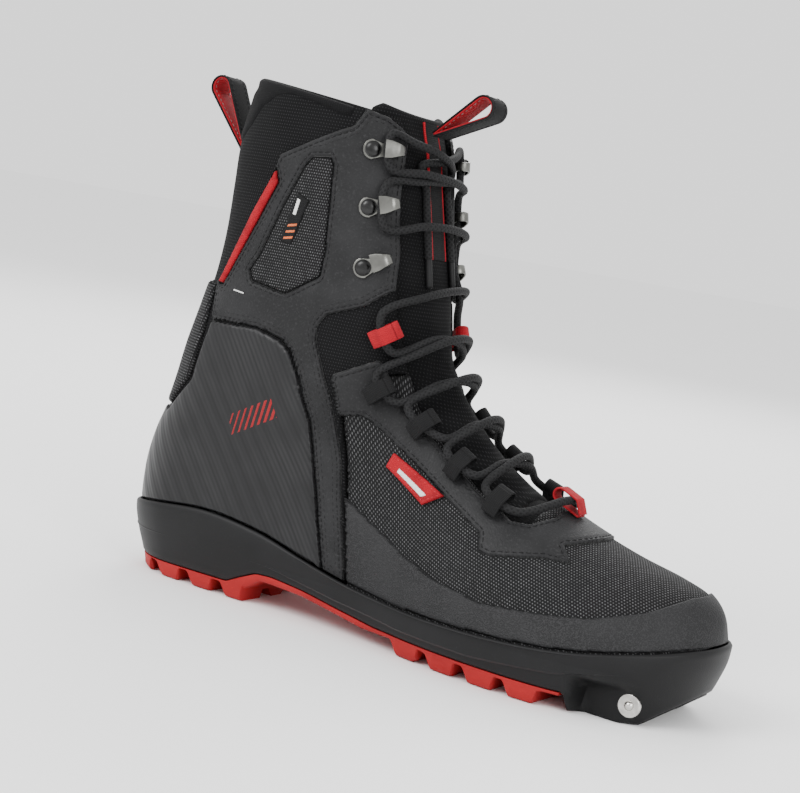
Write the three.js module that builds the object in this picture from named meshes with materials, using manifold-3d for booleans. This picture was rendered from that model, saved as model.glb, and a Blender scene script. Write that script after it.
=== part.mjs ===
// Cross country touring boot for the right foot, with a steel toe bar for the ski binding.
// Millimetres. +X points to the toe, -Y to the outer (lateral) side, +Z up. The lugs stand on z = 0.
import * as THREE from "three";
import { mergeVertices } from "three/addons/utils/BufferGeometryUtils.js";
import Module from "manifold-3d";

const wasm = await Module();
wasm.setup();

// ---------------------------------------------------------------- driving dimensions

const ORIGIN_SHIFT = [2.1, -3.1, 0]; // puts the origin under the middle of the boot's box

const TOE_X = 152.5; // base surface at the toe, on the feather line
const HEEL_X = -156.5; // base surface at the back of the heel
const TOE_ROUND = 62; // length over which the plan rounds off at the toe
const HEEL_ROUND = 34; // the same at the heel
const TUCK = 6; // how far the upper reaches down inside the sole frame
const TOE_SWING = 7; // inward swing of the toe, towards the big toe
const HEEL_ROW = 9; // first row that closes round the back of the leg
const SHAFT_TOP = 14; // row of the collar's edge
const COLLAR_ROW = 12.4; // lowest row that the padded rim reaches
const TONGUE_TOP = 14.5; // row of the tongue's upper edge
const THROAT_ROW = 5.1; // row of the tongue's lower end

// Rows of the side view from the toe to the collar: a front point and an end point, x and z.
const ROWS = [
  [152.5, 39, 152.5, 39],
  [150.5, 49, 144, 37],
  [142, 57, 130, 33],
  [128, 61.5, 112, 30],
  [104, 67, 86, 27],
  [78, 76, 58, 25],
  [50, 89, 22, 24],
  [26, 106, -25, 28],
  [5, 129, -100, 41],
  [-5, 149, -156, 28],
  [-11, 171, -146, 88],
  [-17, 194, -136, 146],
  [-22, 213, -132, 190],
  [-26, 229, -131, 224],
  [-30, 240, -123, 254],
  [-33, 254, -117, 276],
];

// Heights of the feather line, where the upper meets the sole frame, along x.
const FEATHER = [
  [-158, 33], [-125, 38.5], [-97, 41], [-67, 38], [-40, 31.5], [-13, 26.5],
  [20, 24], [50, 24.4], [80, 26], [105, 28.5], [130, 33], [158, 39.2],
];

// The back of the leg: z, x.
const BACK = [
  [15, -152.5], [37, -156], [50, -156.5], [60, -155.5], [72, -152.5], [84, -148], [100, -144],
  [120, -141], [140, -137], [155, -134], [175, -132], [200, -131.5], [218, -131], [230, -128.5],
  [245, -125.5], [256, -122.5], [282, -114],
];

// Half widths: of the foot along x, and of the leg along z.
const FOOT_WIDTH = [
  [-158, 32], [-120, 35.5], [-80, 36], [-40, 35], [0, 38.5], [40, 46], [75, 50], [100, 50], [158, 46],
];
const LEG_WIDTH = [[30, 36], [60, 36.5], [100, 38], [140, 36.5], [180, 38], [220, 41], [256, 42.5], [282, 43]];

// Layers, as distances out from the base surface.
const UPPER = [-2, 0];
const FILM = [0.35, 1.5];
const COUNTER = [0.35, 1.9];
const REAR_MESH = [0.35, 2.6];
const WINDOW_MESH = [0.35, 0.9];
const PIPING = [0.35, 2.1];
const WINDOW_TAG = [1.25, 1.8];
const SIDE_TAG = [1.85, 2.6];
const TOE_PUFF = [-3.2, -2.3];
const LINER = [-6.6, -4.2];
const LINER_SETBACK = 16; // how far behind the tongue the liner stops, so that the tongue can swing
const COLLAR = [-5.2, 1.4];
const TONGUE = [-8.6, -2.7];
const RIBBON = [-2.4, -1.7];
const SEAM_GAP = 0.4; // gap between neighbouring panels
const LAYER_ROWS = [0.5, 1, 1.6, 2.3, 3, 4, 5, 6, 7, 7.7, 8.4, 9, 9.7, 10.5, 11.3, 12.1, 13, 13.4, 14, 14.4];

// Panel outlines in the side view, x and z.
const THROAT_EDGE = [
  [-34, 240], [-29, 222], [-26, 200], [-21.5, 175], [-17, 152], [-10, 130], [0, 112], [18, 96.5],
  [38, 83], [58, 73.5], [66, 73],
];
const TONGUE_EDGE = [
  [-36, 252], [-40, 249.5], [-45, 245.5], [-48, 239], [-46, 231], [-43, 225], [-38.5, 200],
  [-31, 175], [-24, 150], [-16, 127], [-8, 109], [10, 92], [32, 78], [52, 70], [60, 69],
];
const QUARTER = [
  [-47, 243], [-39, 241], [-34, 237], [-31, 233], [-29.5, 222], [-27.5, 206], [-24, 188], [-22, 180],
  [-20, 163], [-31, 153], [-49, 146], [-53, 140], [-52, 133], [-40, 110], [-35, 97], [-29, 81],
  [-25, 63], [-17, 36], [-11, 10], [-40, 10], [-116, 131], [-119, 150], [-88, 212], [-87, 216],
  [-67, 226], [-51, 234], [-49, 238],
];
const WINDOW = [
  [-68, 217], [-59, 218], [-57, 215], [-55, 174], [-56, 163], [-74, 152], [-94, 155], [-96, 160],
  [-91, 168], [-82, 191], [-72, 212],
];
const PIPING_EDGE = [[-88, 209], [-86, 203], [-96, 183], [-113, 150.5], [-117, 150.5], [-100, 187]];
const COUNTER_EDGE = [
  [-115, 132], [-87, 133], [-72, 130], [-66, 126], [-59, 116], [-48, 95], [-43, 76], [-35, 49],
  [-22, 10], [-170, 10], [-170, 84], [-135, 84], [-120, 101], [-117, 121],
];
const REAR_EDGE = [[-170, 86], [-136, 86], [-122, 102], [-119.5, 121], [-119.5, 149], [-170, 153]];
const VAMP_SEAM = [
  [-9, 126], [-36, 117], [-32, 97], [-27, 81], [-23, 63], [-15, 36], [-12, 5], [170, 5], [170, 140], [-9, 140],
];
const VAMP_FILM = [
  [-41, 119], [-35, 101], [-23, 103], [-16, 100], [0, 91], [26, 76], [48, 65], [51, 58], [57, 57],
  [79, 61], [91, 61], [84, 67], [93, 70], [102, 72], [102, 95], [73, 95], [72, 76], [66, 72.5],
  [58, 72.5], [38, 81.5], [18, 94.5], [-5, 110], [-13, 118], [-18, 128], [-21, 130],
];
const RAND = [
  [-23.5, 65], [-5, 56], [16, 47], [35, 41], [60, 38], [86, 40], [109, 43], [128, 49], [140, 56.5],
  [170, 62], [170, 5], [-9.5, 5], [-15.5, 36],
];
const COLLAR_SEAM = [
  [-170, 214], [-120, 219], [-111, 227], [-104, 236], [-94, 242], [-84, 243.5], [-70, 241], [-54, 236],
  [-51.5, 238.5], [-50, 244], [-49.5, 300], [-170, 300],
];
const SIDE_TAG_EDGE = [[-4, 90], [-6, 83], [17, 70], [26, 76]];
const WINDOW_TAG_EDGE = [[-74, 200], [-67, 197], [-74, 175], [-81, 176]];

// Sole: side outline of the black frame and of the red outsole, x and z.
const FRAME_UNDERSIDE = [
  [-165, 7.5], [-84, 8.5], [-76, 12.5], [-66, 17], [-57, 17.5], [-38, 15.5], [-20, 12.5], [3, 9.5],
  [22, 9], [104, 9], [106, 0.3], [133, 0.3], [140, 6], [150, 14], [157, 22], [163, 32],
];
const LUG_PITCH = 20.7;
const LUG_BASE = 7.2; // height of the outsole between the lugs
const HEEL_LUGS = { from: -150, count: 4, tip: 11 };
const TOE_LUGS = { from: 14, count: 4, tip: 12 };
const LUG_FLANK = 3; // run of a lug's sloping flank
const WAIST = 3; // thickness of the outsole under the waist
const OUTSOLE_TOE = 103.5;
const GROOVE = { offset: 11, width: 6, depth: 4.5 }; // two, along the line from the heel to the bar
const FLOOR = [
  [-165, 20], [-100, 22.5], [-60, 21.5], [-20, 16.5], [20, 13.5], [60, 13.5], [100, 17], [118, 20.5],
  [141, 23.5], [165, 27],
];
const BOARD = { from: 0.3, to: 2.2, inset: -2.6 };
const FOOTBED = { from: 2.5, to: 6.5, inset: -11 };
const PLAN_POINTS = 28; // points along each side of a plan outline

// Toe bar.
const BAR = { x: 129.5, y: 6.2, z: 9, radius: 2.3, half: 38 };
const BAR_SLOT = { from: 118, to: 141, half: 14, top: 17 }; // half is measured from BAR.y
const FERRULE = { radius: 5.2, thickness: 1.6, bore: 2.7, set: 2.7 };

// Lacing: rows and half positions of the loops and hooks.
const LACE_RADIUS = 1.8;
const LACE_STEPS = 156;
const LACE_UNDER = 1.8; // heights of the two strands where they cross
const LACE_OVER = 6.2;
const THROAT_ENDS = [-6.5, 6.5]; // y of the lace on either side of the throat loop
const TAIL_ROWS = [12, 11.5, 11, 10.4];
const TAIL_V = 0.055;
const TAIL_HEIGHT = -0.7;
const LOOPS = [
  { s: 5.85, v: 0.36 },
  { s: 6.7, v: 0.35 },
  { s: 7.45, v: 0.32 },
  { s: 8.2, v: 0.31, skew: 0.021 },
];
const ANKLE_LOOP = { s: 9.2, v: 0.2 };
const THROAT_LOOP = { s: 5.25, v: 0 };
const HOOKS = [
  { s: 10.45, v: 0.25 },
  { s: 11.5, v: 0.245 },
  { s: 12.8, v: 0.235 },
];
const LOOP = { back: -6.0, front: 8, height: 7, width: 8, strap: 0.9 };
const HOOK = { back: -7, front: 9.2, gap: 5.2, plate: 1.1, width: 8.4 };
const RIVET = { radius: 3.3, height: 1.3, at: -2.6 };
const SEAT = FILM[1] + SEAM_GAP; // height on which the hooks sit
const LOOP_SEAT = 2.7;
const THROAT_LOOP_SEAT = 2.2;

// Pull loops: the pivot of the free part, its length, lean from +X in degrees, and webbing sizes.
const PULL = { width: 15, strap: 1.6, round: 6, root: 1.7, holeFrom: 12 };
const HEEL_PULL = { x: -134.6, z: 217, length: 41, lean: 124 };
const TONGUE_PULL = { x: -26.6, z: 237.5, length: 34, lean: 33 };
const HEEL_TAB = { from: 195, to: 212, half: 7.5, thickness: [0.4, 2] };
const SHANK = { from: -95, to: -5, half: 12, top: -0.25, bottom: -2 };
const AGLET = { radius: 1.5, length: 14, gap: 0.3 };

const COLOURS = {
  film: 0x464646,
  softshell: 0x1e1e20,
  rand: 0x4a4a4c,
  frame: 0x2e2e30,
  red: 0xc5423e,
  steel: 0xb9b5aa,
  nickel: 0x96968f,
  black: 0x121214,
};

// Ranges of y: the whole boot, its outer half and its inner half.
const BOTH = [-90, 90];
const OUTER = [-90, 0];
const INNER = [0, 90];

// ---------------------------------------------------------------- the base surface

const clamp01 = (u) => Math.min(Math.max(u, 0), 1);
const ease = (u) => clamp01(u) ** 2 * (3 - 2 * clamp01(u));
const dome = (u, power) => (1 - (1 - clamp01(u)) ** power) ** (1 / power);

// A smooth function through pairs of argument and value.
function through(pairs) {
  const last = pairs.length - 1;
  const slope = pairs.map((_, i) => {
    const a = pairs[Math.max(i - 1, 0)];
    const b = pairs[Math.min(i + 1, last)];
    return (b[1] - a[1]) / (b[0] - a[0]);
  });
  return (value) => {
    const x = Math.min(Math.max(value, pairs[0][0]), pairs[last][0]);
    const i = Math.min(Math.max(pairs.findIndex((pair) => pair[0] > x) - 1, 0), last - 1);
    const k = x >= pairs[last][0] ? last - 1 : i;
    const h = pairs[k + 1][0] - pairs[k][0];
    const t = (x - pairs[k][0]) / h;
    const smooth = t * t * (3 - 2 * t);
    const bend = h * (slope[k] * t * (1 - t) ** 2 - slope[k + 1] * t * t * (1 - t));
    return pairs[k][1] + (pairs[k + 1][1] - pairs[k][1]) * smooth + bend;
  };
}

const feather = through(FEATHER);
const back = through(BACK);
const footWidth = through(FOOT_WIDTH);
const legWidth = through(LEG_WIDTH);
const centreLine = (x) => TOE_SWING * ease((x - 30) / 127);

const planWidth = (x) => footWidth(x) * dome((TOE_X - x) / TOE_ROUND, 2.1);

// Front and end point of a row, by a Catmull-Rom curve through the rows.
function row(s) {
  const i = Math.min(Math.max(Math.floor(s), 0), ROWS.length - 2);
  const f = s - i;
  const at = (k) => ROWS[Math.min(Math.max(k, 0), ROWS.length - 1)];
  const value = (n) => {
    const [p0, p1, p2, p3] = [at(i - 1)[n], at(i)[n], at(i + 1)[n], at(i + 2)[n]];
    const square = 2 * p0 - 5 * p1 + 4 * p2 - p3;
    const cube = 3 * p1 - p0 - 3 * p2 + p3;
    return 0.5 * (2 * p1 + (p2 - p0) * f + square * f * f + cube * f ** 3);
  };
  const [fx, fz] = [value(0), value(1)];
  let [ex, ez] = [value(2), value(3)];
  if (s >= HEEL_ROW) ex = back(ez);
  else ez = feather(ex) - TUCK * ease(s / 1.5);
  return { fx, fz, ex, ez };
}

// A point of the base surface. v runs from -1 (outer side, at the sole or the back of the leg) over
// 0 (front centre line) to 1 (inner side).
function point(s, v) {
  const closed = s >= HEEL_ROW;
  let across = v;
  if (Math.abs(v) > 1) across = closed ? v - 2 * Math.sign(v) : Math.sign(v);
  const side = Math.sign(across);
  const turn = ease((s - 6.5) / 3);
  const angle = Math.PI * Math.abs(across);
  const q = (1 - turn) * (1 - Math.cos(angle / 2)) + (turn * (1 - Math.cos(angle))) / 2;
  const { fx, fz, ex, ez } = row(s);
  const length = Math.max(Math.hypot(ex - fx, ez - fz), 1e-6);
  const x = fx + (ex - fx) * q;
  const z = fz + (ez - fz) * q;
  const leg = ease((z - 45) / 75);
  const width = (1 - leg) * planWidth(x) + leg * legWidth(z);
  const frontRound = (1 - turn) * length + turn * 46;
  const backRound = HEEL_ROUND + 16 * ease((z - 60) / 150);
  const backGap = closed && Math.abs(across) === 1 ? 0 : x - back(z);
  const half = width * dome((q * length) / frontRound, 2.15 + 0.2 * turn) * dome(backGap / backRound, 2.2);
  return new THREE.Vector3(x, centreLine(x) + side * half, z);
}

// Outward normal and the two directions along the surface.
function directions(s, v) {
  const row0 = Math.max(s, 0.15);
  const v0 = s < 0.15 ? 0 : v;
  const along = point(row0 + 0.03, v0).sub(point(row0 - 0.03, v0)).normalize();
  const across = point(row0, v0 + 0.01).sub(point(row0, v0 - 0.01)).normalize();
  const normal = new THREE.Vector3().crossVectors(across, along).normalize();
  if (v0 === 0 || (Math.abs(v0) === 1 && s >= HEEL_ROW)) normal.setY(0).normalize();
  return { along, across, normal };
}

const lifted = (s, v, height) => point(s, v).addScaledVector(directions(s, v).normal, height);

// ---------------------------------------------------------------- solids

function solidOf(geometry) {
  geometry.deleteAttribute("normal");
  geometry.deleteAttribute("uv");
  const merged = mergeVertices(geometry, 1e-4);
  const mesh = new wasm.Mesh({
    numProp: 3,
    vertProperties: new Float32Array(merged.attributes.position.array),
    triVerts: new Uint32Array(merged.index.array),
  });
  return new wasm.Manifold(mesh);
}

function geometryOf(solid) {
  const mesh = solid.getMesh();
  const geometry = new THREE.BufferGeometry();
  geometry.setAttribute("position", new THREE.BufferAttribute(mesh.vertProperties, 3));
  geometry.setIndex(new THREE.BufferAttribute(mesh.triVerts, 1));
  geometry.computeVertexNormals();
  return geometry;
}

function fromTriangles(positions, triangles) {
  const geometry = new THREE.BufferGeometry();
  geometry.setAttribute("position", new THREE.Float32BufferAttribute(positions, 3));
  geometry.setIndex(triangles);
  return solidOf(geometry);
}

// A shell that follows the base surface between two distances, from one row to another.
function layer([inner, outer], from = 0, to = SHAFT_TOP, columns = 18) {
  const rows = [from, ...LAYER_ROWS.filter((s) => s > from + 0.15 && s < to - 0.15), to];
  const positions = [];
  const index = new Map();
  const vertex = (i, j, face) => {
    const s = rows[i];
    let column = j;
    if (s >= HEEL_ROW && j === columns) column = 0;
    if (s === 0) column = columns / 2;
    const key = `${i} ${column} ${face}`;
    if (!index.has(key)) {
      index.set(key, positions.length / 3);
      positions.push(...lifted(s, (2 * column) / columns - 1, face === 0 ? outer : inner).toArray());
    }
    return index.get(key);
  };
  const triangles = [];
  const quad = (a, b, c, d) => {
    if (a !== b && b !== c && c !== a) triangles.push(a, b, c);
    if (a !== c && c !== d && d !== a) triangles.push(a, c, d);
  };
  for (let i = 0; i < rows.length - 1; i += 1) {
    for (let j = 0; j < columns; j += 1) {
      quad(vertex(i, j, 0), vertex(i, j + 1, 0), vertex(i + 1, j + 1, 0), vertex(i + 1, j, 0));
      quad(vertex(i, j, 1), vertex(i + 1, j, 1), vertex(i + 1, j + 1, 1), vertex(i, j + 1, 1));
    }
    if (rows[i] < HEEL_ROW) {
      quad(vertex(i, 0, 0), vertex(i + 1, 0, 0), vertex(i + 1, 0, 1), vertex(i, 0, 1));
      quad(vertex(i + 1, columns, 0), vertex(i, columns, 0), vertex(i, columns, 1), vertex(i + 1, columns, 1));
    }
  }
  const top = rows.length - 1;
  for (let j = 0; j < columns; j += 1) {
    quad(vertex(top, j, 0), vertex(top, j + 1, 0), vertex(top, j + 1, 1), vertex(top, j, 1));
    if (from > 0) quad(vertex(0, j + 1, 0), vertex(0, j, 0), vertex(0, j, 1), vertex(0, j + 1, 1));
  }
  return fromTriangles(positions, triangles);
}

// A side view outline pushed across the boot between two y values.
function prism(outline, yFrom = BOTH[0], yTo = BOTH[1]) {
  const shape = new THREE.Shape(outline.map(([x, z]) => new THREE.Vector2(x, z)));
  const geometry = new THREE.ExtrudeGeometry(shape, { depth: yTo - yFrom, bevelEnabled: false });
  geometry.rotateX(Math.PI / 2);
  geometry.translate(0, yTo, 0);
  return solidOf(geometry);
}

function block([x0, y0, z0], [x1, y1, z1]) {
  const geometry = new THREE.BoxGeometry(x1 - x0, y1 - y0, z1 - z0);
  geometry.translate((x0 + x1) / 2, (y0 + y1) / 2, (z0 + z1) / 2);
  return solidOf(geometry);
}

// An outline moved outwards by a distance (inwards when it is negative).
function grown(outline, distance) {
  const area = outline.reduce((sum, [x, z], i) => {
    const [nx, nz] = outline[(i + 1) % outline.length];
    return sum + x * nz - nx * z;
  }, 0);
  const sign = Math.sign(area);
  return outline.map(([x, z], i) => {
    const [px, pz] = outline[(i + outline.length - 1) % outline.length];
    const [nx, nz] = outline[(i + 1) % outline.length];
    const before = new THREE.Vector2(z - pz, px - x).normalize();
    const after = new THREE.Vector2(nz - z, x - nx).normalize();
    const middle = before.clone().add(after).normalize();
    const reach = (sign * distance) / Math.max(middle.dot(before), 0.5);
    return [x + middle.x * reach, z + middle.y * reach];
  });
}

// The region in front of an edge that runs from the collar down to the throat.
const inFrontOf = (edge) => [[edge[0][0], 320], ...edge, [edge.at(-1)[0] + 1, 110], [72, 320]];
const shifted = (edge, dx, dz) => edge.map(([x, z]) => [x + dx, z + dz]);

const aboveFeather = prism([
  [-190, 330], [-190, 33], [-158, 33],
  ...[-140, -125, -110, -97, -82, -67, -54, -40, -26, -13, 3, 20, 35, 50, 65, 80, 92, 105, 118, 130, 145]
    .map((x) => [x, feather(x)]),
  [160, 39.2], [190, 39.2], [190, 330],
]);

const panel = (thickness, outline, sides, from, to) => (
  layer(thickness, from, to).intersect(prism(outline, ...sides)).intersect(aboveFeather)
);

// ---------------------------------------------------------------- the upper

const throat = prism(inFrontOf(THROAT_EDGE));
const linerFront = prism(grown(inFrontOf(TONGUE_EDGE), LINER_SETBACK));
const collarRoom = prism(grown(COLLAR_SEAM, SEAM_GAP));

function makeVamp() {
  return layer(UPPER, 0, 9).intersect(prism(shifted(VAMP_SEAM, SEAM_GAP, -SEAM_GAP))).subtract(throat);
}

function makeShaftSoftshell() {
  return layer(UPPER, 6, SHAFT_TOP).subtract(prism(VAMP_SEAM)).subtract(throat).subtract(collarRoom);
}

function makeLiner() {
  return layer(LINER, 0, SHAFT_TOP - 0.3).subtract(linerFront).subtract(collarRoom).intersect(aboveFeather);
}

function makeCollar() {
  return layer(COLLAR, COLLAR_ROW, SHAFT_TOP).intersect(prism(COLLAR_SEAM));
}

function makeQuarter(sides) {
  return panel(FILM, QUARTER, sides, 6)
    .subtract(collarRoom)
    .subtract(prism(grown(COUNTER_EDGE, SEAM_GAP)))
    .subtract(prism(WINDOW))
    .subtract(prism(grown(PIPING_EDGE, SEAM_GAP)));
}

const makeCounter = () => panel(COUNTER, COUNTER_EDGE, BOTH, 6, 12);
const makeRearPanel = () => panel(REAR_MESH, REAR_EDGE, BOTH, 8.6, 12);
const makeWindow = (sides) => panel(WINDOW_MESH, grown(WINDOW, -SEAM_GAP), sides, 9);
const makePiping = (sides) => panel(PIPING, PIPING_EDGE, sides, 9);
const makeVampFilm = () => panel(FILM, VAMP_FILM, BOTH, 3, 9.4).subtract(throat);
const makeRand = () => panel(FILM, RAND, BOTH, 0, 8);
const makeToePuff = () => layer(TOE_PUFF, 0, 2.3).intersect(aboveFeather);
const makeSideTag = () => panel(SIDE_TAG, SIDE_TAG_EDGE, OUTER, 5, 9);
const makeWindowTag = () => panel(WINDOW_TAG, WINDOW_TAG_EDGE, OUTER, 10);
const makeTongue = () => layer(TONGUE, THROAT_ROW, TONGUE_TOP).intersect(prism(inFrontOf(TONGUE_EDGE)));

function makeRibbon() {
  return layer(RIBBON, 10.4, 14.2).intersect(block([-60, -7, 100], [40, 7, 300]));
}

// ---------------------------------------------------------------- the sole

// Plan outline of the boot, moved outwards by a distance.
function plan(distance) {
  const outline = [];
  for (const side of [-1, 1]) {
    for (let i = 0; i < PLAN_POINTS; i += 1) {
      const step = side < 0 ? i : PLAN_POINTS - i;
      const x = HEEL_X + ((TOE_X - HEEL_X) * (1 - Math.cos((Math.PI * step) / PLAN_POINTS))) / 2;
      const half = planWidth(x) * dome((x - HEEL_X) / HEEL_ROUND, 2.2);
      outline.push([x, centreLine(x) + side * half]);
    }
  }
  return grown(outline, distance);
}

// A solid lofted through plan outlines: pairs of height and distance.
function stack(levels) {
  const rings = levels.map(([, distance]) => plan(distance));
  const count = rings[0].length;
  const positions = [];
  rings.forEach((ring, k) => ring.forEach(([x, y]) => positions.push(x, y, levels[k][0])));
  positions.push(0, 0, levels[0][0], 0, 0, levels.at(-1)[0]);
  const [bottom, top] = [rings.length * count, rings.length * count + 1];
  const triangles = [];
  for (let i = 0; i < count; i += 1) {
    const next = (i + 1) % count;
    for (let k = 0; k < rings.length - 1; k += 1) {
      const [a, b, c, d] = [k * count + i, k * count + next, (k + 1) * count + next, (k + 1) * count + i];
      triangles.push(a, b, c, a, c, d);
    }
    triangles.push(bottom, next, i);
    triangles.push(top, (rings.length - 1) * count + i, (rings.length - 1) * count + next);
  }
  return fromTriangles(positions, triangles);
}

const grooves = [-1, 1].map((side) => {
  const geometry = new THREE.BoxGeometry(400, GROOVE.width, 2 * GROOVE.depth);
  geometry.translate(0, side * GROOVE.offset, 0);
  geometry.rotateZ(Math.atan2(BAR.y, BAR.x - HEEL_X));
  geometry.translate(BAR.x, BAR.y, 0);
  return solidOf(geometry);
});

const withoutGrooves = (solid) => solid.subtract(grooves[0]).subtract(grooves[1]);

function makeFrame() {
  const outside = stack([[-2, -6.5], [8, -4], [20, 0.4], [31, 3.4], [50, 3.4]]);
  const recess = stack([[5, 1.3], [60, 1.3]]).intersect(prism([...FLOOR, [165, 70], [-165, 70]]));
  const shape = prism([...FRAME_UNDERSIDE, [165, 60], [-165, 60]]).subtract(aboveFeather.translate([0, 0, -0.3]));
  const [slotFrom, slotTo] = [BAR.y - BAR_SLOT.half, BAR.y + BAR_SLOT.half];
  const slot = block([BAR_SLOT.from, slotFrom, -5], [BAR_SLOT.to, slotTo, BAR_SLOT.top]);
  const pocket = underfoot({ ...SHANK, half: SHANK.half + 0.3, bottom: SHANK.bottom - 0.3, top: 1 });
  return withoutGrooves(outside.intersect(shape).subtract(recess).subtract(slot))
    .subtract(barSpace())
    .subtract(pocket);
}

function makeOutsole() {
  const body = stack([[-2, -6.6], [8, -4.3], [20, 0.1]]);
  const top = FRAME_UNDERSIDE.slice(0, 9).map(([x, z]) => [x, z - 0.3]);
  const lugs = ({ from, count, tip }) => {
    const outline = [];
    for (let i = 0; i < count; i += 1) {
      const x = from + i * LUG_PITCH;
      outline.push([x, LUG_BASE], [x + LUG_FLANK, 0], [x + LUG_FLANK + tip, 0]);
      outline.push([x + tip + 1.5 * LUG_FLANK, LUG_BASE]);
    }
    return outline;
  };
  const waist = [[-75, 9.2 - WAIST], [-64, 16.6 - WAIST], [-40, 15.2 - WAIST], [-4, 9.8 - WAIST], [10, 7]];
  const underside = [[-165, LUG_BASE], ...lugs(HEEL_LUGS), ...waist, ...lugs(TOE_LUGS), [OUTSOLE_TOE, LUG_BASE]];
  const outline = [...underside, [OUTSOLE_TOE, 8.7], ...top.reverse()];
  return withoutGrooves(body.intersect(prism(outline)));
}

// A sheet that lies on the floor of the frame's recess.
function makeInsole({ from, to, inset }) {
  const outline = [...shifted(FLOOR, 0, from), ...shifted(FLOOR, 0, to).reverse()];
  return stack([[5, inset], [50, inset]]).intersect(prism(outline));
}

// A strip that follows the floor of the recess between two heights.
function underfoot({ from, to, half, top, bottom }) {
  const outline = [...shifted(FLOOR, 0, bottom), ...shifted(FLOOR, 0, top).reverse()];
  return prism(outline, -half, half).intersect(block([from, -half, 0], [to, half, 40]));
}

// A cylinder on the bar's axis between two distances from the bar's middle.
function onBarAxis(radius, from, to) {
  const geometry = new THREE.CylinderGeometry(radius, radius, Math.abs(to - from), 14);
  geometry.translate(BAR.x, BAR.y + (from + to) / 2, BAR.z);
  return solidOf(geometry);
}

// Room for the bar and, from the side faces inwards, for its ferrules.
function barSpace() {
  const room = (side) => onBarAxis(FERRULE.radius + 0.3, side * (BAR.half - FERRULE.set - 0.3), side * 90);
  return onBarAxis(BAR.radius + 0.3, -90, 90).add(room(-1)).add(room(1));
}

const makeBar = () => onBarAxis(BAR.radius, -BAR.half, BAR.half);

function makeFerrule(side) {
  const from = side * (BAR.half - FERRULE.set);
  const to = from + side * FERRULE.thickness;
  return onBarAxis(FERRULE.radius, from, to).subtract(onBarAxis(FERRULE.bore, from - 5, to + 5));
}

// ---------------------------------------------------------------- lacing hardware

// Places a local shape on the surface: x towards the throat, z outwards.
function seat(geometry, s, v, height) {
  const { across, normal } = directions(s, v);
  const x = across.clone().multiplyScalar(v > 0 ? -1 : 1);
  const y = new THREE.Vector3().crossVectors(normal, x);
  const basis = new THREE.Matrix4().makeBasis(x, y, new THREE.Vector3().crossVectors(x, y));
  const at = point(s, v).addScaledVector(normal, height);
  geometry.applyMatrix4(basis.setPosition(at));
  return solidOf(geometry);
}

// A profile drawn in the x-z plane of a local shape and given a width along y.
function strip(outline, width, hole) {
  const shape = new THREE.Shape(outline.map(([x, z]) => new THREE.Vector2(x, z)));
  if (hole) shape.holes.push(new THREE.Path(hole.map(([x, z]) => new THREE.Vector2(x, z))));
  const geometry = new THREE.ExtrudeGeometry(shape, { depth: width, bevelEnabled: false });
  geometry.rotateX(Math.PI / 2);
  geometry.translate(0, width / 2, 0);
  return geometry;
}

function makeLoop({ s, v }) {
  const { front, height, width, strap } = LOOP;
  const back = v === 0 ? -front : LOOP.back;
  const ring = (inset) => [
    [back + 1.5 * inset, inset], [front - 2 - inset / 2, inset], [front - inset, height / 2],
    [front - 2 - inset / 2, height - inset], [back + 3 + 1.5 * inset, height - inset],
  ];
  const geometry = strip(ring(0), width, ring(strap));
  if (v === 0) geometry.rotateZ(Math.PI / 2);
  return seat(geometry, s, v, v === 0 ? THROAT_LOOP_SEAT : LOOP_SEAT);
}

function makeHook({ s, v }) {
  const { back: rear, front, gap, plate, width } = HOOK;
  const rise = gap + plate;
  const outline = [
    [rear, 0], [front, 0], [front + 1.8, rise / 2], [front, rise + plate], [front - 6, rise + plate],
    [front - 6, rise], [front - 0.8, rise], [front + 0.6, rise / 2], [front - 0.8, plate], [rear, plate],
  ];
  return seat(strip(outline, width), s, v, SEAT);
}

function makeRivet({ s, v }) {
  const geometry = new THREE.CylinderGeometry(RIVET.radius - 0.6, RIVET.radius, RIVET.height, 12);
  geometry.rotateX(Math.PI / 2);
  geometry.translate(RIVET.at, 0, RIVET.height / 2 + HOOK.plate + 0.3);
  return seat(geometry, s, v, SEAT);
}

// ---------------------------------------------------------------- pull loops

// A webbing loop in the side view: straight from its root, round at its tip, with the same inside.
function teardrop(start, root, round, length) {
  const outline = [[start, root], [start, -root]];
  const centre = length - PULL.round;
  for (let degrees = -100; degrees <= 100; degrees += 25) {
    const angle = (degrees * Math.PI) / 180;
    outline.push([centre + round * Math.cos(angle), round * Math.sin(angle)]);
  }
  return outline;
}

function makePull({ x, z, length, lean }) {
  const { width, strap, round, root, holeFrom } = PULL;
  const hole = teardrop(holeFrom, 0.5, round - strap, length);
  const geometry = strip(teardrop(0, root, round, length), width, hole);
  geometry.rotateY((-lean * Math.PI) / 180);
  geometry.translate(x, 0, z);
  return solidOf(geometry);
}

function makeHeelTab() {
  const { from, to, half, thickness } = HEEL_TAB;
  return layer(thickness, 9.7, SHAFT_TOP).intersect(block([-170, -half, from], [-100, half, to]));
}

// ---------------------------------------------------------------- the lace

// The lace rises through a loop or round a hook: one station below it and one above it. crossing is
// the height at which the lace then passes over the middle of the tongue.
function rise({ s, v, skew = 0 }, side, spread, height, crossing) {
  return [
    { s: s - spread, v: side * (v + skew), height },
    { s: s + spread, v: side * (v - skew), height, crossing },
  ];
}

// Points along the route: each station, and three more wherever the lace crosses the tongue.
function alongSurface(stations) {
  return stations.flatMap((here, i) => {
    const points = [lifted(here.s, here.v, here.height)];
    const next = stations[i + 1];
    if (here.crossing === undefined || !next) return points;
    for (const t of [0.27, 0.5, 0.73]) {
      const between = (key) => here[key] + (next[key] - here[key]) * t;
      const bump = (1 - (2 * t - 1) ** 2) ** 2;
      const height = between("height") * (1 - bump) + here.crossing * bump;
      points.push(lifted(between("s"), between("v"), height));
    }
    return points;
  });
}

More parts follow.
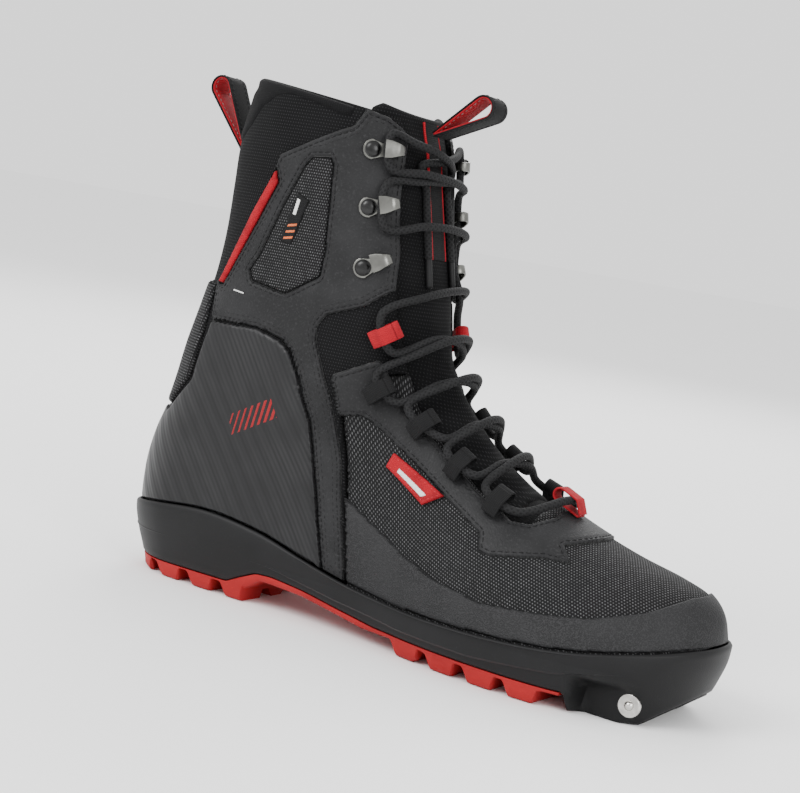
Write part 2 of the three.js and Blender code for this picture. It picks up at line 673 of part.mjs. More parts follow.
// The lace's whole route, from one tucked end over the throat loop to the other tucked end.
function laceRoute() {
  const eye = LOOP_SEAT + LOOP.height / 2 - 0.9;
  const ankleEye = eye + 0.6;
  const hookEye = SEAT + HOOK.plate + HOOK.gap / 2 - 0.3;
  const climb = (first) => LOOPS.flatMap((loop, i) => {
    const side = i % 2 === 0 ? first : -first;
    return rise({ ...loop, v: loop.v - 0.02 }, side, 0.3, eye, side < 0 ? LACE_OVER : LACE_UNDER);
  });
  const ankle = (side, crossing) => rise(ANKLE_LOOP, side, 0.34, ankleEye, crossing);
  const hooked = ({ s, v }, side, crossing) => rise({ s, v: v - 0.034 }, side, 0.46, hookEye, crossing);
  const tail = (side) => TAIL_ROWS.map((s) => ({ s, v: side * TAIL_V, height: TAIL_HEIGHT }));
  const [low, middle, high] = HOOKS;
  const outerStrand = [
    ...climb(-1), ...ankle(-1, 4.5), ...hooked(low, 1, LACE_OVER), ...hooked(middle, -1, LACE_UNDER),
    ...hooked(high, 1, LACE_UNDER), { s: 12.5, v: -0.08, height: 0.6 }, ...tail(-1),
  ];
  const innerStrand = [
    ...climb(1), ...ankle(1), { s: 9.85, v: 0.13, height: 2 }, { s: 10.3, v: 0.105, height: -0.6 },
    { s: 10.8, v: 0.105, height: -0.5 }, { s: 11.05, v: 0.16, height: 4 }, ...hooked(middle, 1, LACE_OVER),
    ...hooked(high, -1, LACE_OVER + 0.4), { s: 12.5, v: 0.08, height: 0.6 }, ...tail(1),
  ];
  const lowest = THROAT_ENDS.map((y) => (
    lifted(THROAT_LOOP.s, 0, THROAT_LOOP_SEAT + LOOP.height / 2).setY(y)
  ));
  return [...alongSurface(outerStrand).reverse(), ...lowest, ...alongSurface(innerStrand)];
}

const laceCurve = new THREE.CatmullRomCurve3(laceRoute(), false, "centripetal");

function makeLace() {
  const section = new THREE.Shape();
  section.absarc(0, 0, LACE_RADIUS, 0, 2 * Math.PI);
  const options = { steps: LACE_STEPS, curveSegments: 4, extrudePath: laceCurve, bevelEnabled: false };
  return solidOf(new THREE.ExtrudeGeometry(section, options));
}

// The sheath on an end of the lace: end 0 or 1 of its curve.
function makeAglet(end) {
  const outwards = laceCurve.getTangent(end).multiplyScalar(end === 0 ? -1 : 1);
  const geometry = new THREE.CylinderGeometry(AGLET.radius, AGLET.radius, AGLET.length, 10);
  geometry.translate(0, AGLET.length / 2 + AGLET.gap, 0);
  geometry.applyQuaternion(new THREE.Quaternion().setFromUnitVectors(new THREE.Vector3(0, 1, 0), outwards));
  geometry.translate(...laceCurve.getPoint(end).toArray());
  return solidOf(geometry);
}

// ---------------------------------------------------------------- assembly

const material = (colour, roughness, metalness = 0) => (
  new THREE.MeshStandardMaterial({ color: colour, roughness, metalness })
);
const MATERIALS = {
  film: material(COLOURS.film, 0.55),
  softshell: material(COLOURS.softshell, 0.9),
  rand: material(COLOURS.rand, 0.7),
  frame: material(COLOURS.frame, 0.5),
  rubber: material(COLOURS.red, 0.6),
  webbing: material(COLOURS.black, 0.85),
  redWebbing: material(COLOURS.red, 0.8),
  steel: material(COLOURS.steel, 0.3, 1),
  nickel: material(COLOURS.nickel, 0.35, 1),
};

const boot = new THREE.Group();
boot.position.set(...ORIGIN_SHIFT);

function add(name, solid, finish) {
  const mesh = new THREE.Mesh(geometryOf(solid), finish);
  mesh.name = name;
  boot.add(mesh);
}

add("outsole", makeOutsole(), MATERIALS.rubber);
add("sole_frame", makeFrame(), MATERIALS.frame);
add("toe_bar", makeBar(), MATERIALS.steel);
add("insole_board", makeInsole(BOARD), MATERIALS.webbing);
add("footbed", makeInsole(FOOTBED), MATERIALS.webbing);
add("vamp", makeVamp(), MATERIALS.softshell);
add("toe_puff", makeToePuff(), MATERIALS.frame);
add("liner", makeLiner(), MATERIALS.softshell);
add("shaft_softshell", makeShaftSoftshell(), MATERIALS.softshell);
add("collar_pad", makeCollar(), MATERIALS.softshell);
add("heel_counter", makeCounter(), MATERIALS.frame);
add("rear_panel", makeRearPanel(), MATERIALS.softshell);
add("vamp_overlay", makeVampFilm(), MATERIALS.film);
add("toe_rand", makeRand(), MATERIALS.rand);
add("side_tag", makeSideTag(), MATERIALS.redWebbing);
add("window_tag", makeWindowTag(), MATERIALS.webbing);
add("tongue", makeTongue(), MATERIALS.softshell);
add("tongue_ribbon", makeRibbon(), MATERIALS.redWebbing);
add("shank", underfoot(SHANK), MATERIALS.steel);
add("tongue_pull_loop", makePull(TONGUE_PULL), MATERIALS.redWebbing);
add("heel_pull_loop", makePull(HEEL_PULL), MATERIALS.redWebbing);
add("heel_loop_tab", makeHeelTab(), MATERIALS.webbing);
add("lace_loop_throat", makeLoop(THROAT_LOOP), MATERIALS.redWebbing);
add("lace", makeLace(), MATERIALS.webbing);
add("aglet_lateral", makeAglet(0), MATERIALS.frame);
add("aglet_medial", makeAglet(1), MATERIALS.frame);
for (const [side, sides, sign] of [["lateral", OUTER, -1], ["medial", INNER, 1]]) {
  add(`quarter_overlay_${side}`, makeQuarter(sides), MATERIALS.film);
  add(`window_mesh_${side}`, makeWindow(sides), MATERIALS.softshell);
  add(`piping_${side}`, makePiping(sides), MATERIALS.redWebbing);
  add(`toe_bar_ferrule_${side}`, makeFerrule(sign), MATERIALS.steel);
  LOOPS.forEach(({ s, v }, i) => (
    add(`lace_loop_${side}_${i + 1}`, makeLoop({ s, v: sign * v }), MATERIALS.webbing)
  ));
  add(`lace_loop_ankle_${side}`, makeLoop({ s: ANKLE_LOOP.s, v: sign * ANKLE_LOOP.v }), MATERIALS.redWebbing);
  HOOKS.forEach(({ s, v }, i) => {
    add(`hook_${side}_${i + 1}`, makeHook({ s, v: sign * v }), MATERIALS.nickel);
    add(`hook_rivet_${side}_${i + 1}`, makeRivet({ s, v: sign * v }), MATERIALS.nickel);
  });
}

export default boot;
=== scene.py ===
import math

import bmesh
import bpy
import numpy as np
from mathutils import Matrix, Vector


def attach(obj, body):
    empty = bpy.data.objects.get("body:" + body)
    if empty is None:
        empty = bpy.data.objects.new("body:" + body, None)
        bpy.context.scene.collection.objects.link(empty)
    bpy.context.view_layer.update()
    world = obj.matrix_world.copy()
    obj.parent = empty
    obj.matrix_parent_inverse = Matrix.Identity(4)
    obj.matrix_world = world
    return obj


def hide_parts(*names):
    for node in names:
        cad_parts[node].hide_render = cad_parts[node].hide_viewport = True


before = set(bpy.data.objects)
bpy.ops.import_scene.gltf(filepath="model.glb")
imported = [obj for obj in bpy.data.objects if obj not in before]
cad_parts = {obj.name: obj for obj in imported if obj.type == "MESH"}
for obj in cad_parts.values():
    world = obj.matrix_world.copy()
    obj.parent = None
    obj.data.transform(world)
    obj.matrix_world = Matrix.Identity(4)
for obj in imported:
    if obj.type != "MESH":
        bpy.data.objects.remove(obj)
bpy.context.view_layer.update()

# Everything below is worked out in millimetres, in the frame of the boot's own drawing. SHIFT moves
# that frame to the row's frame, whose origin is under the middle of the boot's box.
SHIFT = np.array([2.1, -3.1, 0.0])

# ---------------------------------------------------------------- base surface of the upper

TOE_X, HEEL_X = 152.5, -156.5
TOE_ROUND, HEEL_ROUND = 62, 34
TUCK, TOE_SWING = 6, 7
SIDES = ((-1, "lateral"), (1, "medial"))
HEEL_ROW, SHAFT_TOP, COLLAR_ROW, TONGUE_TOP, THROAT_ROW = 9, 14, 12.4, 14.5, 5.1

ROWS = np.array([
    [152.5, 39, 152.5, 39], [150.5, 49, 144, 37], [142, 57, 130, 33], [128, 61.5, 112, 30],
    [104, 67, 86, 27], [78, 76, 58, 25], [50, 89, 22, 24], [26, 106, -25, 28], [5, 129, -100, 41],
    [-5, 149, -156, 28], [-11, 171, -146, 88], [-17, 194, -136, 146], [-22, 213, -132, 190],
    [-26, 229, -131, 224], [-30, 240, -123, 254], [-33, 254, -117, 276],
])
FEATHER = [
    (-158, 33), (-125, 38.5), (-97, 41), (-67, 38), (-40, 31.5), (-13, 26.5), (20, 24), (50, 24.4),
    (80, 26), (105, 28.5), (130, 33), (158, 39.2),
]
BACK = [
    (15, -152.5), (37, -156), (50, -156.5), (60, -155.5), (72, -152.5), (84, -148), (100, -144),
    (120, -141), (140, -137), (155, -134), (175, -132), (200, -131.5), (218, -131), (230, -128.5),
    (245, -125.5), (256, -122.5), (282, -114),
]
FOOT_WIDTH = [
    (-158, 32), (-120, 35.5), (-80, 36), (-40, 35), (0, 38.5), (40, 46), (75, 50), (100, 50), (158, 46),
]
LEG_WIDTH = [(30, 36), (60, 36.5), (100, 38), (140, 36.5), (180, 38), (220, 41), (256, 42.5), (282, 43)]


def ease(u):
    u = np.clip(u, 0, 1)
    return u * u * (3 - 2 * u)


def dome(u, power):
    return (1 - (1 - np.clip(u, 0, 1)) ** power) ** (1 / power)


def through(pairs):
    """A smooth function through pairs of argument and value."""
    xs, ys = np.array(pairs, float).T
    before = np.maximum(np.arange(len(xs)) - 1, 0)
    after = np.minimum(np.arange(len(xs)) + 1, len(xs) - 1)
    slope = (ys[after] - ys[before]) / (xs[after] - xs[before])

    def value(x):
        x = np.clip(x, xs[0], xs[-1])
        k = np.clip(np.searchsorted(xs, x, side="right") - 1, 0, len(xs) - 2)
        h = xs[k + 1] - xs[k]
        t = (x - xs[k]) / h
        bend = h * (slope[k] * t * (1 - t) ** 2 - slope[k + 1] * t * t * (1 - t))
        return ys[k] + (ys[k + 1] - ys[k]) * t * t * (3 - 2 * t) + bend

    return value


feather, back = through(FEATHER), through(BACK)
foot_width, leg_width = through(FOOT_WIDTH), through(LEG_WIDTH)


def centre_line(x):
    return TOE_SWING * ease((x - 30) / 127)


def plan_width(x):
    return foot_width(x) * dome((TOE_X - x) / TOE_ROUND, 2.1)


def row_ends(s):
    """Front and end point of row s in the side view, by a Catmull-Rom curve through the rows."""
    last = len(ROWS) - 1
    i = np.clip(np.floor(s).astype(int), 0, last - 1)
    f = (s - i)[..., None]
    p0, p1, p2, p3 = (ROWS[np.clip(i + k, 0, last)] for k in (-1, 0, 1, 2))
    square = 2 * p0 - 5 * p1 + 4 * p2 - p3
    cube = 3 * p1 - p0 - 3 * p2 + p3
    ends = 0.5 * (2 * p1 + (p2 - p0) * f + square * f ** 2 + cube * f ** 3)
    fx, fz, ex, ez = np.moveaxis(ends, -1, 0)
    closed = s >= HEEL_ROW
    return fx, fz, np.where(closed, back(ez), ex), np.where(closed, ez, feather(ex) - TUCK * ease(s / 1.5))


def surface(s, v):
    """Points of the base surface. v is -1 on the outer side at the sole or the back of the leg, 0 on
    the front centre line and 1 on the inner side."""
    s, v = np.broadcast_arrays(np.asarray(s, float), np.asarray(v, float))
    closed = s >= HEEL_ROW
    over = np.abs(v) > 1
    across = np.where(over, np.where(closed, v - 2 * np.sign(v), np.sign(v)), v)
    turn = ease((s - 6.5) / 3)
    angle = np.pi * np.abs(across)
    q = (1 - turn) * (1 - np.cos(angle / 2)) + turn * (1 - np.cos(angle)) / 2
    fx, fz, ex, ez = row_ends(s)
    length = np.maximum(np.hypot(ex - fx, ez - fz), 1e-6)
    x = fx + (ex - fx) * q
    z = fz + (ez - fz) * q
    leg = ease((z - 45) / 75)
    width = (1 - leg) * plan_width(x) + leg * leg_width(z)
    front_round = (1 - turn) * length + turn * 46
    back_round = HEEL_ROUND + 16 * ease((z - 60) / 150)
    gap = np.where(closed & (np.abs(across) == 1), 0, x - back(z))
    half = width * dome(q * length / front_round, 2.15 + 0.2 * turn) * dome(gap / back_round, 2.2)
    return np.stack([x, centre_line(x) + np.sign(across) * half, z], -1)


def unit(vectors):
    return vectors / np.maximum(np.linalg.norm(vectors, axis=-1, keepdims=True), 1e-9)


def directions(s, v):
    """Directions along the rows, across them and outwards."""
    s, v = np.broadcast_arrays(np.asarray(s, float), np.asarray(v, float))
    row = np.maximum(s, 0.15)
    column = np.where(s < 0.15, 0, v)
    along = unit(surface(row + 0.03, column) - surface(row - 0.03, column))
    across = unit(surface(row, column + 0.01) - surface(row, column - 0.01))
    normal = np.cross(across, along)
    middle = (column == 0) | ((np.abs(column) == 1) & (s >= HEEL_ROW))
    normal[..., 1] = np.where(middle, 0, normal[..., 1])
    return along, across, unit(normal)


def lifted(s, v, height):
    return surface(s, v) + directions(s, v)[2] * np.asarray(height, float)[..., None]


# ---------------------------------------------------------------- outlines in the side view, x and z

THROAT_EDGE = [
    (-34, 240), (-29, 222), (-26, 200), (-21.5, 175), (-17, 152), (-10, 130), (0, 112), (18, 96.5),
    (38, 83), (58, 73.5), (66, 73),
]
TONGUE_EDGE = [
    (-36, 252), (-40, 249.5), (-45, 245.5), (-48, 239), (-46, 231), (-43, 225), (-38.5, 200),
    (-31, 175), (-24, 150), (-16, 127), (-8, 109), (10, 92), (32, 78), (52, 70), (60, 69),
]
QUARTER = [
    (-47, 243), (-39, 241), (-34, 237), (-31, 233), (-29.5, 222), (-27.5, 206), (-24, 188), (-22, 180),
    (-20, 163), (-31, 153), (-49, 146), (-53, 140), (-52, 133), (-40, 110), (-35, 97), (-29, 81),
    (-25, 63), (-17, 36), (-11, 10), (-40, 10), (-116, 131), (-119, 150), (-88, 212), (-87, 216),
    (-67, 226), (-51, 234), (-49, 238),
]
WINDOW = [
    (-68, 217), (-59, 218), (-57, 215), (-55, 174), (-56, 163), (-74, 152), (-94, 155), (-96, 160),
    (-91, 168), (-82, 191), (-72, 212),
]
PIPING_EDGE = [(-88, 209), (-86, 203), (-96, 183), (-113, 150.5), (-117, 150.5), (-100, 187)]
COUNTER_EDGE = [
    (-115, 132), (-87, 133), (-72, 130), (-66, 126), (-59, 116), (-48, 95), (-43, 76), (-35, 49),
    (-22, 10), (-170, 10), (-170, 84), (-135, 84), (-120, 101), (-117, 121),
]
REAR_EDGE = [(-170, 86), (-136, 86), (-122, 102), (-119.5, 121), (-119.5, 149), (-170, 153)]
VAMP_SEAM = [
    (-9, 126), (-36, 117), (-32, 97), (-27, 81), (-23, 63), (-15, 36), (-12, 5), (170, 5), (170, 140),
    (-9, 140),
]
VAMP_FILM = [
    (-41, 119), (-35, 101), (-23, 103), (-16, 100), (0, 91), (26, 76), (48, 65), (51, 58), (57, 57),
    (79, 61), (91, 61), (84, 67), (93, 70), (102, 72), (102, 95), (73, 95), (72, 76), (66, 72.5),
    (58, 72.5), (38, 81.5), (18, 94.5), (-5, 110), (-13, 118), (-18, 128), (-21, 130),
]
RAND = [
    (-23.5, 65), (-5, 56), (16, 47), (35, 41), (60, 38), (86, 40), (109, 43), (128, 49), (140, 56.5),
    (170, 62), (170, 5), (-9.5, 5), (-15.5, 36),
]
COLLAR_SEAM = [
    (-170, 214), (-120, 219), (-111, 227), (-104, 236), (-94, 242), (-84, 243.5), (-70, 241), (-54, 236),
    (-51.5, 238.5), (-50, 244), (-49.5, 300), (-170, 300),
]
SIDE_TAG = [(-4, 90), (-6, 83), (17, 70), (26, 76)]
WINDOW_TAG = [(-74, 200), (-67, 197), (-74, 175), (-81, 176)]
SEAM_GAP = 0.4


def in_front_of(edge):
    return [(edge[0][0], 320), *edge, (edge[-1][0] + 1, 110), (72, 320)]


# ---------------------------------------------------------------- fields and cut sheets


def polygon(outline):
    """Signed distance in the side view to an outline, above zero inside it, as a function of points."""
    a = np.array(outline, float)
    b = np.roll(a, -1, axis=0)

    def field(p):
        x, z = p[..., 0], p[..., 2]
        best = np.full(x.shape, 1e9)
        inside = np.zeros(x.shape, bool)
        for (ax, az), (bx, bz) in zip(a, b):
            ex, ez = bx - ax, bz - az
            t = np.clip(((x - ax) * ex + (z - az) * ez) / (ex * ex + ez * ez), 0, 1)
            best = np.minimum(best, np.hypot(x - ax - t * ex, z - az - t * ez))
            if az != bz:
                inside ^= ((az > z) != (bz > z)) & (x < ex * (z - az) / ez + ax)
        return np.where(inside, best, -best)

    return field


def both(*fields):
    return lambda p: np.minimum.reduce([f(p) for f in fields])


def without(field, *cuts, gap=0.0):
    return lambda p: np.minimum.reduce([field(p)] + [-f(p) - gap for f in cuts])


def above_feather(p):
    return p[..., 2] - feather(p[..., 0])


class Grid:
    """A fine grid on the base surface between two rows and two columns, with a field on it."""

    def __init__(self, rows, columns, field, step):
        mean = surface(np.linspace(*rows, 40), np.full(40, columns[0] / 2 + columns[1] / 2))
        edge = surface(np.linspace(*rows, 40), np.full(40, columns[0] if columns[0] > -1 else -0.6))
        span = max(np.linalg.norm(np.diff(c, axis=0), axis=1).sum() for c in (mean, edge))
        middle = surface(np.full(60, rows[0] * 0.4 + rows[1] * 0.6), np.linspace(*columns, 60))
        width = np.linalg.norm(np.diff(middle, axis=0), axis=1).sum()
        n, m = int(span / step) + 2, int(width / step) // 2 * 2 + 1
        self.s, self.v = np.meshgrid(np.linspace(*rows, n), np.linspace(*columns, m), indexing="ij")
        self.field = field
        self.p = surface(self.s, self.v)
        self.d = self.distance()
        self.snap(step)
        steps = np.linalg.norm(np.diff(self.p, axis=1), axis=-1)
        arc = np.concatenate([np.zeros((n, 1)), np.cumsum(steps, axis=1)], axis=1)
        zero = np.argmin(np.abs(self.v[0]))
        self.arc = arc - arc[:, zero:zero + 1]

    def gradients(self, f):
        fs, fv = np.gradient(f)
        ps, pv = np.gradient(self.p, axis=(0, 1))
        e, g, m = (ps * ps).sum(-1), (pv * pv).sum(-1), (ps * pv).sum(-1)
        det = np.maximum(e * g - m * m, 1e-9)
        return (g * fs - m * fv) / det, (e * fv - m * fs) / det, fs, fv

    def distance(self):
        """The field as a true distance along the surface."""
        f = self.field(self.p)
        up_s, up_v, fs, fv = self.gradients(f)
        steep = np.sqrt(np.maximum(up_s * fs + up_v * fv, 0))
        return f / np.clip(steep, 0.3, 1.3)

    def snap(self, step):
        """Moves the points that lie close to the field's zero line onto it."""
        f = self.field(self.p)
        up_s, up_v, fs, fv = self.gradients(f)
        steep = np.maximum(up_s * fs + up_v * fv, 0.05)
        ds, dv = self.s[1, 0] - self.s[0, 0], self.v[0, 1] - self.v[0, 0]
        near = np.abs(self.d) < 0.33 * step
        near[0], near[-1] = False, False
        near[:, 0], near[:, -1] = False, False
        self.s = np.where(near, self.s - np.clip(f * up_s / steep, -0.4, 0.4) * ds, self.s)
        self.v = np.where(near, self.v - np.clip(f * up_v / steep, -0.4, 0.4) * dv, self.v)
        self.d = np.where(near, 0.0, self.d)
        self.p = surface(self.s, self.v)

    def cut(self):
        """Faces where the field is at least zero, and s, v, distance and arc of their vertices."""
        n, m = self.s.shape
        flat = np.stack([self.s, self.v, self.d, self.arc], -1).reshape(-1, 4)
        inside = flat[:, 2] >= 0
        cell = np.add.outer(np.arange(n - 1) * m, np.arange(m - 1)).ravel()
        corners = np.stack([cell, cell + 1, cell + m + 1, cell + m], 1)
        count = inside[corners].sum(1)
        faces = [tuple(c) for c in corners[count == 4]]
        data = list(flat)
        crossing = {}

        def cross(a, b):
            if flat[a, 2] == 0:
                return a
            key = (a, b)
            if key not in crossing:
                t = flat[a, 2] / (flat[a, 2] - flat[b, 2])
                new = flat[a] + (flat[b] - flat[a]) * t
                new[2] = 0
                crossing[key] = len(data)
                data.append(new)
            return crossing[key]

        for quad in corners[(count > 0) & (count < 4)]:
            loop = []
            for a, b in zip(quad, np.roll(quad, -1)):
                if inside[a]:
                    loop.append(int(a))
                if inside[a] != inside[b]:
                    loop.append(cross(int(a), int(b)) if inside[a] else cross(int(b), int(a)))
            loop = [k for i, k in enumerate(loop) if k != loop[i - 1]]
            if len(loop) > 2:
                faces.append(tuple(loop))
        data = np.array(data)
        used = np.unique(np.concatenate([np.array(f) for f in faces]))
        index = np.full(len(data), -1)
        index[used] = np.arange(len(used))
        return [tuple(index[list(f)]) for f in faces], data[used]

    def lines(self, level, shortest=8.0):
        """Lines along which the distance has a given value, each as an array of s and v."""
        n, m = self.s.shape
        f = self.d - level - 1e-6
        sv = np.stack([self.s, self.v], -1)
        nodes, links = {}, {}

        def cross(i, j, k, l):
            key = (i, j, k, l)
            if key not in nodes:
                t = f[i, j] / (f[i, j] - f[k, l])
                nodes[key] = sv[i, j] + (sv[k, l] - sv[i, j]) * t
            return key

        sign = f > 0
        mixed = (sign[:-1, :-1] + 0 + sign[1:, :-1] + sign[:-1, 1:] + sign[1:, 1:]) % 4 != 0
        for i, j in zip(*np.where(mixed)):
            ring = [(i, j), (i, j + 1), (i + 1, j + 1), (i + 1, j)]
            keys = []
            for a, b in zip(ring, ring[1:] + ring[:1]):
                if sign[a] != sign[b]:
                    keys.append(cross(*min(a, b), *max(a, b)))
            for a, b in zip(keys[::2], keys[1::2]):
                links.setdefault(a, []).append(b)
                links.setdefault(b, []).append(a)
        lines, seen = [], set()
        for start in sorted(links, key=lambda k: (len(links[k]) != 1, k)):
            if start in seen:
                continue
            chain, here = [start], start
            seen.add(start)
            while True:
                step = next((k for k in links[here] if k not in seen), None)
                if step is None:
                    break
                seen.add(step)
                chain.append(step)
                here = step
            if len(chain) > 4 and start in links[here]:
                chain.append(start)
            points = np.array([nodes[k] for k in chain])
            world = surface(points[:, 0], points[:, 1])
            if np.linalg.norm(np.diff(world, axis=0), axis=1).sum() > shortest:
                lines.append(points)
        return lines


# ---------------------------------------------------------------- objects


def build(name, points, faces, material, body, slot, stands_for=(), uv=None, edge=None):
    """A mesh object from points in drawing millimetres. It rides on body and has a uv map in mm."""
    mesh = bpy.data.meshes.new(name)
    mesh.from_pydata(((np.asarray(points) + SHIFT) / 1000).tolist(), [], [list(map(int, f)) for f in faces])
    mesh.validate()
    mesh.shade_smooth()
    if uv is not None:
        loops = np.zeros(len(mesh.loops), int)
        mesh.loops.foreach_get("vertex_index", loops)
        layer = mesh.uv_layers.new(name="cloth")
        layer.data.foreach_set("uv", np.asarray(uv, np.float32)[loops].ravel())
    if edge is not None:
        mesh.attributes.new("edge", "FLOAT", "POINT").data.foreach_set("value", np.asarray(edge, np.float32))
    obj = bpy.data.objects.new(name, mesh)
    bpy.context.scene.collection.objects.link(obj)
    mesh.materials.append(material)
    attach(obj, body)
    if stands_for:
        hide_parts(*stands_for)
    return obj


def weld(obj, distance=2e-5):
    """Joins the vertices that lie on each other, such as those on both sides of the back seam."""
    bm = bmesh.new()
    bm.from_mesh(obj.data)
    bmesh.ops.remove_doubles(bm, verts=bm.verts, dist=distance)
    bmesh.ops.dissolve_degenerate(bm, dist=1e-6, edges=bm.edges)
    bm.to_mesh(obj.data)
    bm.free()
    return obj


def sharpen(obj, degrees=35):
    """Smooth shading except across edges sharper than an angle."""
    obj.data.set_sharp_from_angle(angle=math.radians(degrees))
    return obj


def closed_sheet(name, grid, mapping, surfaces, material, slot, stands_for, body, keep_edge):
    """A closed sheet over a grid's cut area. surfaces gives the heights of its two faces, which meet
    along its edge. mapping says which two of x, z and arc the uv map holds."""
    faces, data = grid.cut()
    s, v, d, arc = data.T
    p = surface(s, v)
    normal = directions(s, v)[2]
    upper, lower = surfaces(p, d, arc)
    uv = {
        "side": np.stack([p[:, 0], p[:, 2]], 1),
        "fore": np.stack([p[:, 0], arc], 1),
        "leg": np.stack([arc, p[:, 2]], 1),
    }[mapping]
    rim = d <= 1e-9
    below = np.where(rim, np.arange(len(d)), len(d) + np.cumsum(~rim) - 1)
    points = np.concatenate([p + normal * upper[:, None], (p + normal * lower[:, None])[~rim]])
    under = [tuple(below[list(f)][::-1]) for f in faces]
    under = [f for f, g in zip(under, faces) if set(f) != set(g)]
    uv = np.concatenate([uv, uv[~rim]])
    edge = np.concatenate([d, d[~rim]]) if keep_edge else None
    return weld(build(name, points, faces + under, material, body, slot, stands_for, uv, edge))


def quarter_round(d, round_off):
    """0 on an edge, rising along a quarter circle to 1 at the distance round_off."""
    return np.sqrt(np.maximum(1 - (1 - np.clip(d / round_off, 0, 1)) ** 2, 0))


def skin(name, grid, heights, material, slot, stands_for=(), body="shell", round_off=0.9, mapping="side",
         relief=None):
    """A closed thin sheet on the base surface where the grid's field is above zero. Its edge is rounded
    down to its underside over the distance round_off."""
    inner, outer = heights

    def surfaces(p, d, arc):
        upper = inner + (outer - inner) * quarter_round(d, round_off)
        if relief is not None:
            upper = upper + relief(p, d) * np.clip(d / round_off, 0, 1)
        return upper, np.full(len(d), inner)

    return closed_sheet(name, grid, mapping, surfaces, material, slot, stands_for, body, keep_edge=True)


THREAD_RINGS = [(-1, 0.35), (-0.8, 0.85), (-0.3, 1), (0.3, 1), (0.8, 0.85), (1, 0.35)]
THREAD_SIDES = 6
THREAD_SINK = 0.64


def thread(name, seats, material, body, length, radius):
    """Stitches, each a short round thread that dips at its ends. A seat is a stitch's middle, its run and
    the direction outwards."""
    points, faces = [], []
    last = len(THREAD_RINGS) - 1
    for middle, tangent, normal in seats:
        side = np.cross(normal, tangent)
        base = len(points)
        for place, size in THREAD_RINGS:
            centre = middle + tangent * place * length / 2 - normal * THREAD_SINK * place ** 2 * radius
            for angle in np.arange(THREAD_SIDES) * 2 * math.pi / THREAD_SIDES:
                across = side * math.cos(angle) + normal * math.sin(angle)
                points.append(centre + across * radius * size)
        for k in range(last):
            for j in range(THREAD_SIDES):
                a, b = base + k * THREAD_SIDES + j, base + k * THREAD_SIDES + (j + 1) % THREAD_SIDES
                faces.append((a, b, b + THREAD_SIDES, a + THREAD_SIDES))
        faces.append(tuple(base + j for j in range(THREAD_SIDES - 1, -1, -1)))
        faces.append(tuple(base + last * THREAD_SIDES + j for j in range(THREAD_SIDES)))
    return build(name, points, faces, material, body, "lace")


def along(points):
    """The distance run along a line at each of its points."""
    return np.concatenate([[0], np.cumsum(np.linalg.norm(np.diff(points, axis=0), axis=1))])


def interpolate(where, run, values):
    return np.array([np.interp(where, run, column) for column in values.T])


def stitches(name, lines, height, material, pitch=3.1, length=2.3, radius=0.28):
    """A row of thread stitches along each line of s and v."""
    seats = []
    for line in lines:
        world = surface(line[:, 0], line[:, 1])
        run = along(world)
        for at in np.arange(pitch / 2, run[-1] - length / 2, pitch):
            s, v = interpolate(at, run, line)
            tangent = unit(interpolate(at + 0.5, run, world) - interpolate(at - 0.5, run, world))
            normal = directions(s, v)[2]
            seats.append((surface(s, v) + normal * height, tangent, normal))
    return thread(name, seats, material, "shell", length, radius)


def sew(name, tracks, material, body, length, radius, pitch=2.6):
    """Thread stitches along tracks, which are pairs of points and outward directions."""
    seats = []
    for line, out in tracks:
        run = along(line)
        for at in np.arange(pitch / 2, run[-1] - length / 2, pitch):
            tangent = unit(interpolate(at + 0.5, run, line) - interpolate(at - 0.5, run, line))
            seats.append((interpolate(at, run, line), tangent, unit(interpolate(at, run, out))))
    return thread(name, seats, material, body, length, radius)


def loft(name, loops, material, body, slot, stands_for=(), uv=None):
    """A closed solid through loops of equal length: its first and last loop are its ends."""
    loops = np.asarray(loops, float)
    n, m = loops.shape[:2]
    faces = []
    for i in range(n - 1):
        for j in range(m):
            l = (j + 1) % m
            faces.append((i * m + j, i * m + l, (i + 1) * m + l, (i + 1) * m + j))
    faces.append(tuple(range(m - 1, -1, -1)))
    faces.append(tuple((n - 1) * m + j for j in range(m)))
    if uv is not None:
        uv = np.asarray(uv, float).reshape(-1, 2)
    return build(name, loops.reshape(-1, 3), faces, material, body, slot, stands_for, uv)


# ---------------------------------------------------------------- materials


